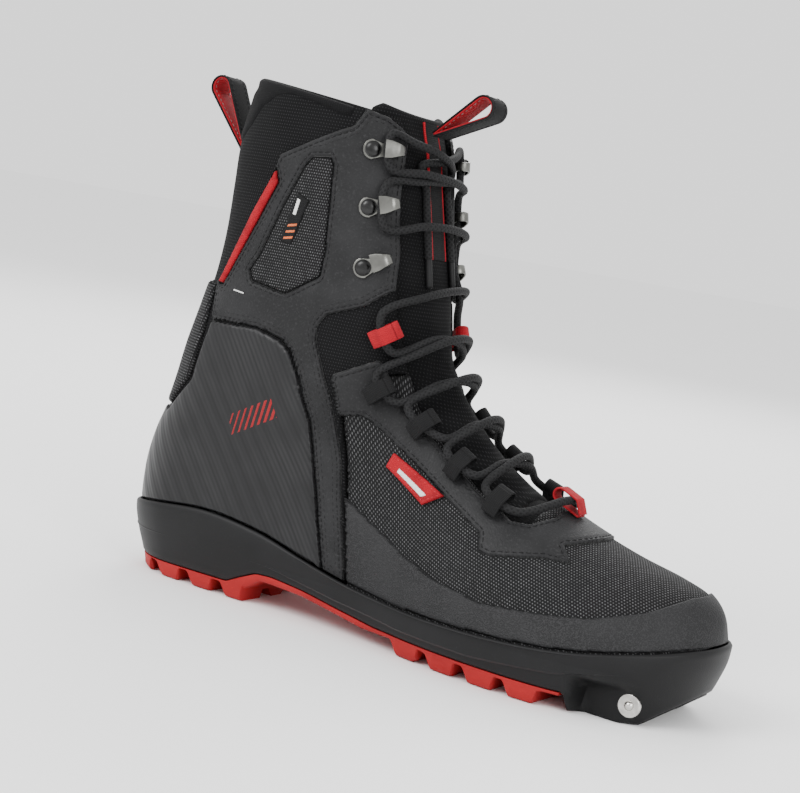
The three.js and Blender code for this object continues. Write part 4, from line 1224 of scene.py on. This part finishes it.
def make_outsole():
    profile = lug_profile()
    bottom_of = broken(profile, 0.55)
    top_of = broken([(x, z - 0.3) for x, z in FRAME_UNDERSIDE[:9]] + [(OUTSOLE_TOE, 8.7)])

    def low(x, across):
        z = bottom_of(x)
        return max(z, min(GROOVE["depth"], top_of(x) - 0.4)) if in_groove(across) else z

    def wall(angle, side):
        x = offset(angle, side, -4.5)[0]
        bottom, top = bottom_of(x), top_of(x)
        drop = max(top - bottom, 0.3)
        chamfer = min(1.9, 0.32 * drop)
        heights = [bottom, bottom + 0.25 * chamfer, bottom + chamfer, bottom + 0.6 * drop]
        heights += [top - 0.12 * drop, top]
        insets = [-1.4 * chamfer, -0.5 * chamfer, 0, 0, 0, -0.15]
        return [(*offset(angle, side, outsole_wall(z) + inset), z) for z, inset in zip(heights, insets)]

    marks = [x + k for x, _ in profile for k in (-0.55, 0, 0.55)]
    loops = []
    for angle in stations(marks, OUTSOLE_TOE):
        outer, inner = wall(angle, -1), wall(angle, 1)
        over = between(outer[-1], inner[-1], 5)
        loops.append(outer + over + inner[::-1] + underside(inner[0], outer[0], low))
    obj = loft("outsole_rubber", loops, RUBBER, "shell", "outsole", ["outsole"])
    sharpen(weld(obj, SOLE_WELD), 30)


def make_insole(name, bottom, top, inset, material, slot, node):
    """A sheet on the floor of the frame, between two heights over it, with slightly rounded edges."""
    xs, zs = np.array(FLOOR).T
    section = [(bottom, inset - 0.5), (bottom + 0.4, inset), (top - 0.6, inset), (top, inset - 0.7)]
    loops = []
    for angle in stations(count=90):
        sides = []
        for side in (-1, 1):
            floor = np.interp(offset(angle, side, inset)[0], xs, zs)
            sides.append([(*offset(angle, side, distance), floor + z) for z, distance in section])
        loops.append(sides[0] + between(sides[0][-1], sides[1][-1], 9) + sides[1][::-1]
                     + between(sides[1][0], sides[0][0], 9))
    points = np.array(loops)
    obj = loft(name, loops, material, "shell", slot, [node], uv=points[..., :2])
    weld(obj, SOLE_WELD)


# ---------------------------------------------------------------- turned and folded pieces


def turned(name, profile, place, axis, material, body, slot, stands_for=(), sides=28):
    """A solid turned round an axis through place: pairs of height along the axis and radius."""
    axis = unit(np.array(axis, float))
    one = unit(np.cross(axis, [0.31, 0.17, 0.93]))
    two = np.cross(axis, one)
    angles = np.linspace(0, 2 * math.pi, sides, endpoint=False)
    ring = np.outer(np.cos(angles), one) + np.outer(np.sin(angles), two)
    loops = [np.array(place) + axis * h + ring * max(r, 0.02) for h, r in profile]
    return sharpen(loft(name, loops, material, body, slot, stands_for), 50)


def make_bar():
    length = 2 * BAR["half"]
    ends = [(-0.4, 0.3), (-0.2, 1.1), (0.3, 1.8), (1.2, BAR["radius"])]
    profile = ends + [(length - h, r) for h, r in ends[::-1]]
    start = (BAR["x"], BAR["y"] - BAR["half"], BAR["z"])
    turned("toe_bar_pin", profile, start, (0, 1, 0), STEEL, "shell", "steel", ["toe_bar"])
    for side, name in SIDES:
        face = (BAR["x"], BAR["y"] + side * BLOCK["half"], BAR["z"])
        rim = [(-1.2, 4.3), (-1.2, 5.2), (0.35, 5.2), (0.7, 5.0), (0.8, 4.7), (0.6, 4.35)]
        turned(f"toe_bar_rim_{name}", rim, face, (0, side, 0), STEEL, "shell", "steel",
               [f"toe_bar_ferrule_{name}"])
        dish = [(-1.6, 2.3), (-1.6, 4.4), (0.2, 4.4), (-0.3, 3.9), (-0.9, 3.3), (-1.0, 2.32)]
        turned(f"toe_bar_dish_{name}", dish, face, (0, side, 0), RING_STEEL, "shell", "steel")


def local_frame(s, v):
    """Directions on the surface: towards the throat, along the edge, and outwards."""
    _, across, normal = directions(s, v)
    x = across * (-1 if v > 0 else 1)
    y = unit(np.cross(normal, x))
    return x, y, np.cross(x, y)


def strap(path, widths, thickness, corner=0.35):
    """Sections of a flat strap along a path of pairs (u, n). Points are (u, w, n); also their uv in mm."""
    path = np.array(path, float)
    widths = np.broadcast_to(widths, len(path))
    run = along(path)
    tangent = unit(np.gradient(path, axis=0))
    up = np.stack([-tangent[:, 1], tangent[:, 0]], 1)
    loops, uv = [], []
    for point, normal, width, at in zip(path, up, widths, run):
        half, thin = width / 2, thickness / 2
        c = min(corner, thin * 0.95)
        section = []
        for sign_w, sign_n, first in ((1, 1, 0), (-1, 1, 90), (-1, -1, 180), (1, -1, 270)):
            for degrees in (first, first + 45, first + 90):
                a = math.radians(degrees)
                section.append((sign_w * (half - c) + c * math.cos(a), sign_n * (thin - c) + c * math.sin(a)))
        loops.append([(point[0] + normal[0] * n, w, point[1] + normal[1] * n) for w, n in section])
        uv.append([(at, w) for w, _ in section])
    return np.array(loops), np.array(uv)


def bent(*parts, step=0.6):
    """A path of pairs through straight parts and arcs. An arc is (centre u, centre n, radius, from, to)
    in degrees, and a straight part is (u, n, u, n)."""
    points = []
    for part in parts:
        if len(part) == 4:
            a, b = np.array(part[:2], float), np.array(part[2:], float)
            count = max(int(np.linalg.norm(b - a) / step), 1) + 1
            new = [a + (b - a) * t for t in np.linspace(0, 1, count)]
        else:
            cu, cn, radius, first, last = part
            count = max(int(abs(math.radians(last - first)) * radius / step), 4) + 1
            angles = np.radians(np.linspace(first, last, count))
            new = [np.array([cu + radius * math.cos(a), cn + radius * math.sin(a)]) for a in angles]
        points += [p for p in new if not points or np.linalg.norm(p - points[-1]) > 0.05]
    return np.array(points)


def seated(loops, s, v, height, turn=False):
    """Sections given as (u, w, n) put onto the surface at s, v."""
    x, y, z = local_frame(s, v)
    u, w, n = np.moveaxis(loops, -1, 0)
    if turn:
        u, w = -w, u
    origin = surface(s, v) + z * height
    return origin + u[..., None] * x + w[..., None] * y + n[..., None] * z


LOOPS = [(5.85, 0.36), (6.7, 0.35), (7.45, 0.32), (8.2, 0.31)]
LOOP_SKEW = [0, 0, 0, 0.021]
ANKLE_LOOP, THROAT_LOOP = (9.2, 0.2), (5.25, 0.0)
HOOKS = [(10.45, 0.25), (11.5, 0.245), (12.8, 0.235)]
LOOP_SEAT, THROAT_LOOP_SEAT, HOOK_SEAT = 2.7, 2.2, 1.9
LOOP_BACK, THROAT_LOOP_BACK, LOOP_WIDTH = -6.0, -8.0, 8.0
# A hook is a round eye, and past it a strap with these widths at distances along it.
HOOK_EYE = 4.8
HOOK_WIDTHS = [
    (4.6, 9.0), (9.0, 6.2), (12.0, 6.6), (17.0, 4.4), (22.5, 4.4), (25.8, 6.4), (28.4, 8.0), (31.5, 8.6),
]


def make_loop(name, s, v, material, slot, node):
    base = LOOP_SEAT if v else THROAT_LOOP_SEAT
    back = LOOP_BACK if v else THROAT_LOOP_BACK
    path = bent((back, 0.5, 5.2, 0.5), (5.0, 3.5, 3.0, -90, 90), (5.2, 6.5, back + 4.6, 6.5),
                (back + 4.6, 6.5, back - 0.4, 1.6))
    loops, uv = strap(path, LOOP_WIDTH, 0.9)
    loops = seated(loops, s, v, base - 0.2, turn=v == 0)
    loft(name, loops, material, "shell", slot, [node], uv=uv)


def make_hook(name, s, v, node):
    path = bent((-7.2, 0.5, 8.4, 0.5), (8.2, 3.7, 3.2, -88, 88), (8.4, 6.9, 2.4, 6.9))
    run = along(path)
    eye = 2 * np.sqrt(np.maximum(HOOK_EYE ** 2 - (run - HOOK_WIDTHS[0][0]) ** 2, 0.4))
    rest = np.interp(run, *np.array(HOOK_WIDTHS).T)
    widths = np.where(run < HOOK_WIDTHS[0][0], eye, rest)
    loops, uv = strap(path, widths, 1.0, 0.4)
    obj = loft(name, seated(loops, s, v, HOOK_SEAT - 0.5), NICKEL, "shell", "nickel", [node], uv=uv)
    sharpen(obj, 40)


def make_rivet(name, s, v, node):
    x, _, z = local_frame(s, v)
    place = surface(s, v) + z * (HOOK_SEAT + 0.4) - x * 2.6
    profile = [(0, 3.9), (0.4, 3.9), (0.55, 3.75), (0.5, 3.45), (0.8, 3.2), (1.2, 2.6), (1.5, 1.7),
               (1.62, 0.8), (1.65, 0.1)]
    turned(name, profile, place, z, DARK_NICKEL, "shell", "nickel", [node], 24)


PULL = {"width": 15, "round": 6, "root": 0.95}
HEEL_PULL = {"x": -134.6, "z": 217, "length": 41, "lean": 124}
TONGUE_PULL = {"x": -26.6, "z": 237.5, "length": 34, "lean": 33}


def make_pull(name, pull, body, node):
    """A folded webbing loop: black tape outside, red tape inside, and pale stitches near its edges."""
    lean = math.radians(pull["lean"])
    direction = np.array([math.cos(lean), 0, math.sin(lean)])
    upright = np.array([-math.sin(lean), 0, math.cos(lean)])
    centre = pull["length"] - PULL["round"]

    def path(inset):
        radius = PULL["round"] - inset
        root = PULL["root"] + 0.4 - inset
        touch = math.radians(100)
        tip = (centre + radius * math.cos(touch), radius * math.sin(touch))
        return bent((0, root, *tip), (centre, 0, radius, 100, -100), (tip[0], -tip[1], 0, -root), step=0.8)

    def placed(points):
        u, w, n = np.moveaxis(points, -1, 0)
        base = np.array([pull["x"], 0, pull["z"]])
        return base + u[..., None] * direction + w[..., None] * np.array([0, 1.0, 0]) + n[..., None] * upright

    for part, inset, width, material, slot in (
        ("outer", 0.45, PULL["width"], BLACK_WEB, "black_webbing"),
        ("inner", 1.25, PULL["width"] - 1.2, RED_WEB, "red_webbing"),
    ):
        loops, uv = strap(path(inset), width, 0.72, 0.3)
        stands_for = [node] if part == "outer" else []
        loft(f"{name}_{part}", placed(loops), material, body, slot, stands_for, uv=uv)
    tracks = []
    for inset, facing in ((0.0, 1), (1.7, -1)):
        line = path(inset)
        tangent = unit(np.gradient(line, axis=0))
        normal = np.stack([-tangent[:, 1], tangent[:, 0]], 1) * facing
        for w in (-PULL["width"] / 2 + 2.2, PULL["width"] / 2 - 2.2):
            points = placed(np.stack([line[:, 0], np.full(len(line), w), line[:, 1]], 1))
            facing_out = normal[:, :1] * direction + normal[:, 1:] * upright
            tracks.append((points, facing_out))
    sew(f"{name}_outer_stitches", tracks[:2], THREAD, body, length=1.9, radius=0.24)
    sew(f"{name}_inner_stitches", tracks[2:], PALE_THREAD, body, length=1.5, radius=0.22)


# ---------------------------------------------------------------- the lace

LACE_RADIUS, LACE_UNDER, LACE_OVER = 1.95, 1.8, 6.2
TAIL_ROWS, TAIL_V, TAIL_HEIGHT = (12, 11.5, 11, 10.4), 0.055, -0.7
THROAT_ENDS = (-6.5, 6.5)


def rise(s, v, skew, side, spread, height, crossing=None):
    """The lace comes up through a loop or round a hook: a station below it and one above it."""
    return [(s - spread, side * (v + skew), height, None), (s + spread, side * (v - skew), height, crossing)]


def along_surface(route):
    """Points of the route, with three more wherever the lace crosses the tongue."""
    points = []
    for i, (s, v, height, crossing) in enumerate(route):
        points.append(lifted(s, v, height))
        if crossing is None or i + 1 == len(route):
            continue
        following = route[i + 1]
        for t in (0.27, 0.5, 0.73):
            bump = (1 - (2 * t - 1) ** 2) ** 2
            level = height + (following[2] - height) * t
            at_s, at_v = s + (following[0] - s) * t, v + (following[1] - v) * t
            points.append(lifted(at_s, at_v, level * (1 - bump) + crossing * bump))
    return points


def lace_route():
    eye = LOOP_SEAT + 3.5 - 0.9
    hook_eye = HOOK_SEAT + 1.1 + 5.2 / 2 - 0.3

    def climb(first):
        route = []
        for i, ((s, v), skew) in enumerate(zip(LOOPS, LOOP_SKEW)):
            side = first if i % 2 == 0 else -first
            route += rise(s, v - 0.02, skew, side, 0.3, eye, LACE_OVER if side < 0 else LACE_UNDER)
        return route

    def ankle(side, crossing=None):
        return rise(*ANKLE_LOOP, 0, side, 0.34, eye + 0.6, crossing)

    def hooked(hook, side, crossing):
        return rise(hook[0], hook[1] - 0.034, 0, side, 0.46, hook_eye, crossing)

    def tail(side):
        return [(s, side * TAIL_V, TAIL_HEIGHT, None) for s in TAIL_ROWS]

    low, middle, high = HOOKS
    outer = climb(-1) + ankle(-1, 4.5) + hooked(low, 1, LACE_OVER) + hooked(middle, -1, LACE_UNDER)
    outer += hooked(high, 1, LACE_UNDER) + [(12.5, -0.08, 0.6, None)] + tail(-1)
    inner = climb(1) + ankle(1) + [(9.85, 0.13, 2, None), (10.3, 0.105, -0.6, None)]
    inner += [(10.8, 0.105, -0.5, None), (11.05, 0.16, 4, None)]
    inner += hooked(middle, 1, LACE_OVER) + hooked(high, -1, LACE_OVER + 0.4)
    inner += [(12.5, 0.08, 0.6, None)] + tail(1)
    lowest = []
    for y in THROAT_ENDS:
        point = lifted(THROAT_LOOP[0], 0, THROAT_LOOP_SEAT + 3.5)
        lowest.append(np.array([point[0], y, point[2]]))
    return np.array(along_surface(outer)[::-1] + lowest + along_surface(inner))


def smooth_curve(points, step):
    """A centripetal Catmull-Rom curve through the points, sampled at even steps."""
    ends = np.concatenate([[2 * points[0] - points[1]], points, [2 * points[-1] - points[-2]]])
    samples = []
    for p0, p1, p2, p3 in zip(ends, ends[1:], ends[2:], ends[3:]):
        a, b, c = (max(np.linalg.norm(q - p) ** 0.5, 1e-4) for p, q in ((p0, p1), (p1, p2), (p2, p3)))
        start = ((p1 - p0) / a - (p2 - p0) / (a + b) + (p2 - p1) / b) * b
        end = ((p2 - p1) / b - (p3 - p1) / (b + c) + (p3 - p2) / c) * b
        for t in np.linspace(0, 1, 24, endpoint=False):
            square, cube = t * t, t ** 3
            samples.append(p1 * (2 * cube - 3 * square + 1) + start * (cube - 2 * square + t)
                           + p2 * (3 * square - 2 * cube) + end * (cube - square))
    samples = np.array(samples + [points[-1]])
    run = along(samples)
    even = np.linspace(0, run[-1], int(run[-1] / step) + 1)
    return interpolate(even, run, samples).T, even


def tube(name, points, run, radius, material, body, slot, stands_for=(), sides=12):
    tangent = unit(np.gradient(points, axis=0))
    up = unit(np.cross(tangent[0], [0.2, 0.9, 0.4]))
    angles = np.linspace(0, 2 * math.pi, sides + 1)
    loops, uv = [], []
    for point, direction, at in zip(points, tangent, run):
        up = unit(up - direction * np.dot(up, direction))
        side = np.cross(direction, up)
        loops.append([point + (up * math.cos(a) + side * math.sin(a)) * radius for a in angles[:-1]])
        uv.append([(at, a * radius) for a in angles[:-1]])
    return loft(name, loops, material, body, slot, stands_for, uv=uv)


def make_lace():
    points, run = smooth_curve(lace_route(), 1.3)
    tube("lace_cord", points, run, LACE_RADIUS, LACE_PAINT, "shell", "lace", ["lace"])
    for end, side in ((0, "lateral"), (-1, "medial")):
        inner = points[1] if end == 0 else points[-2]
        out = unit(points[end] - inner)
        profile = [(0, 1.55), (0.4, 1.7), (12.6, 1.6), (13.6, 1.35), (14.2, 0.8)]
        turned(f"lace_sheath_{side}", profile, points[end], out, FRAME_PAINT, "shell", "frame",
               [f"aglet_{side}"], 18)


# ---------------------------------------------------------------- trims


def either(*fields):
    return lambda p: np.maximum.reduce([f(p) for f in fields])


def make_tags():
    tag = polygon(SIDE_TAG)
    grid = Grid((5, 9), (-1, -0.1), tag, 0.7)
    skin("side_tag_cloth", grid, TAG_HEIGHT, RED_WEB, "red_webbing", ["side_tag"], round_off=0.7)
    stitches("side_tag_stitches", grid.lines(1.4), 2.2, thread_paint("red_thread", (150, 24, 34)), pitch=2.2,
             length=1.7, radius=0.2)
    bar = Grid((5, 9), (-1, -0.1), polygon([(1, 83.5), (0.3, 81.6), (15.5, 73.2), (18, 74.5)]), 0.5)
    skin("side_tag_bar", bar, TAG_BAR_HEIGHT, PALE_PRINT, "red_webbing", round_off=0.2)
    grid = Grid((10, SHAFT_TOP), (-1, -0.2), polygon(WINDOW_TAG), 0.7)
    skin("window_tag_cloth", grid, LABEL_HEIGHT, BLACK_WEB, "black_webbing", ["window_tag"], round_off=0.5)
    slants = []
    for k in range(3):
        x, z = -78.8 + 0.75 * k, 177 + 3.1 * k
        slants.append(polygon([(x, z), (x + 5.2, z + 1), (x + 5.5, z + 2.3), (x + 0.3, z + 1.3)]))
    marks = Grid((10, SHAFT_TOP), (-1, -0.2), either(*slants), 0.35)
    skin("window_tag_marks", marks, LABEL_MARK_HEIGHT, ORANGE_PRINT, "black_webbing", round_off=0.15)
    pale = polygon([(-75.2, 189.5), (-73.4, 189), (-71.6, 196.6), (-73.4, 197.2)])
    mark = Grid((10, SHAFT_TOP), (-1, -0.2), pale, 0.35)
    skin("window_tag_bar", mark, LABEL_MARK_HEIGHT, PALE_PRINT, "black_webbing", round_off=0.15)


def make_prints():
    """Plain slanting bars and a short dash on the outer side of the heel counter."""
    lean, reach = 0.2, 26
    field = polygon([(-90.3, 79.9), (-93.3, 89.5), (-70.4, 102.1), (-65.2, 93.7)])
    bars = []
    for k in range(10):
        x = -97.0 + 3.1 * k
        width = 0.9 + 0.13 * k
        bars.append(polygon([(x, 78), (x + width, 78), (x + width + lean * reach, 78 + reach),
                             (x + lean * reach, 78 + reach)]))
    grid = Grid((7, 10.6), (-0.95, -0.2), both(field, either(*bars)), 0.55)
    skin("counter_bars", grid, COUNTER_PRINT_HEIGHT, RED_PRINT, "carbon", round_off=0.2)
    stroke = polygon([(-104, 148.2), (-104, 149.1), (-97, 148.4), (-97, 147.5)])
    dash = Grid((8, 12), (-0.98, -0.2), stroke, 0.4)
    skin("counter_dash", dash, FILM_PRINT_HEIGHT, PALE_PRINT, "film", round_off=0.2)


def make_heel_tab():
    grid = Grid((11.2, 13.2), (0.84, 1.16), both(
        lambda p: 7.5 - np.abs(p[..., 1]), lambda p: p[..., 2] - 195, lambda p: 212 - p[..., 2]), 0.8)
    skin("heel_tab_tape", grid, HEEL_TAB_HEIGHT, BLACK_WEB, "black_webbing", ["heel_loop_tab"], mapping="leg",
         round_off=0.7)
    stitches("heel_tab_stitches", grid.lines(1.7), 1.6, THREAD, pitch=2.4, length=1.7, radius=0.22)


def dress_cad_nodes():
    """Hidden stiffeners keep their CAD solids, with their own material."""
    for node, material in (("toe_puff", FRAME_PAINT), ("shank", STEEL)):
        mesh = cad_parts[node].data
        mesh.materials.clear()
        mesh.materials.append(material)


# ---------------------------------------------------------------- assembly


def make_boot():
    make_cloth()
    make_vamp_film()
    make_rand()
    make_counter()
    make_rear_panel()
    make_side(-1, "lateral")
    make_side(1, "medial")
    make_liner()
    make_collar()
    make_tongue()
    make_frame()
    make_outsole()
    make_insole("insole_board_sheet", 0.3, 2.2, -2.6, BLACK_WEB, "black_webbing", "insole_board")
    make_insole("footbed_sheet", 2.5, 6.5, -11, LINING, "lining", "footbed")
    make_bar()
    for side, name in SIDES:
        for i, (s, v) in enumerate(LOOPS, 1):
            node = f"lace_loop_{name}_{i}"
            make_loop(f"webbing_loop_{name}_{i}", s, side * v, BLACK_WEB, "black_webbing", node)
        make_loop(f"ankle_loop_{name}", ANKLE_LOOP[0], side * ANKLE_LOOP[1], RED_WEB, "red_webbing",
                  f"lace_loop_ankle_{name}")
        for i, (s, v) in enumerate(HOOKS, 1):
            make_hook(f"lace_hook_{name}_{i}", s, side * v, f"hook_{name}_{i}")
            make_rivet(f"lace_rivet_{name}_{i}", s, side * v, f"hook_rivet_{name}_{i}")
    make_loop("throat_loop", *THROAT_LOOP, RED_WEB, "red_webbing", "lace_loop_throat")
    make_pull("heel_webbing", HEEL_PULL, "heel_loop", "heel_pull_loop")
    make_pull("tongue_webbing", TONGUE_PULL, "tongue_loop", "tongue_pull_loop")
    make_heel_tab()
    make_tags()
    make_prints()
    make_lace()
    dress_cad_nodes()


# ---------------------------------------------------------------- floor, light and camera

CAMERA_AT = (0.380, -0.6986, 0.1940)
CAMERA_LENS = 75.735
FLOOR_SIZE = 30
WORLD_LIGHT = 1.5
# Each light's place, size and power.
LIGHTS = {
    "key": ((-0.7, -1.5, 1.5), 1.2, 40),
    "front": ((1.6, -0.9, 0.9), 1.0, 16),
    "rim": ((-0.6, 1.4, 1.3), 1.0, 18),
}
LIGHT_AIM = (0, 0, 0.12)
AZIMUTH, ELEVATION, ROLL = (math.radians(a) for a in (30, 5.8, 10))


def make_camera():
    backwards = Vector((math.sin(AZIMUTH) * math.cos(ELEVATION), -math.cos(AZIMUTH) * math.cos(ELEVATION),
                        math.sin(ELEVATION)))
    level = Vector((math.cos(AZIMUTH), math.sin(AZIMUTH), 0))
    upright = backwards.cross(level)
    right = level * math.cos(ROLL) + upright * math.sin(ROLL)
    up = upright * math.cos(ROLL) - level * math.sin(ROLL)
    data = bpy.data.cameras.new("camera")
    data.lens = CAMERA_LENS
    data.sensor_width = 36
    data.clip_end = 20
    camera = bpy.data.objects.new("camera", data)
    matrix = Matrix((right, up, backwards)).transposed().to_4x4()
    camera.matrix_world = Matrix.Translation(CAMERA_AT) @ matrix
    bpy.context.scene.collection.objects.link(camera)
    bpy.context.scene.camera = camera


def make_floor():
    mesh = bpy.data.meshes.new("floor")
    corners = [(-FLOOR_SIZE, -FLOOR_SIZE, 0), (FLOOR_SIZE, -FLOOR_SIZE, 0)]
    corners += [(FLOOR_SIZE, FLOOR_SIZE, 0), (-FLOOR_SIZE, FLOOR_SIZE, 0)]
    mesh.from_pydata(corners, [], [(0, 1, 2, 3)])
    floor = bpy.data.objects.new("floor", mesh)
    material = bpy.data.materials.new("pale_floor")
    material.use_nodes = True
    shader = material.node_tree.nodes["Principled BSDF"]
    shader.inputs["Base Color"].default_value = (0.95, 0.95, 0.95, 1)
    shader.inputs["Roughness"].default_value = 1
    shader.inputs["Specular IOR Level"].default_value = 0
    mesh.materials.append(material)
    bpy.context.scene.collection.objects.link(floor)


def make_light(name, place, size, power):
    data = bpy.data.lights.new(name, "AREA")
    data.shape = "DISK"
    data.size = size
    data.energy = power
    light = bpy.data.objects.new(name, data)
    light.location = place
    light.rotation_euler = (Vector(LIGHT_AIM) - Vector(place)).to_track_quat("-Z", "Y").to_euler()
    bpy.context.scene.collection.objects.link(light)


def make_studio():
    world = bpy.data.worlds.new("studio")
    bpy.context.scene.world = world
    world.use_nodes = True
    world.node_tree.nodes["Background"].inputs[0].default_value = (1, 1, 1, 1)
    world.node_tree.nodes["Background"].inputs[1].default_value = WORLD_LIGHT
    for name, (place, size, power) in LIGHTS.items():
        make_light(name, place, size, power)


make_boot()
make_camera()
make_floor()
make_studio()
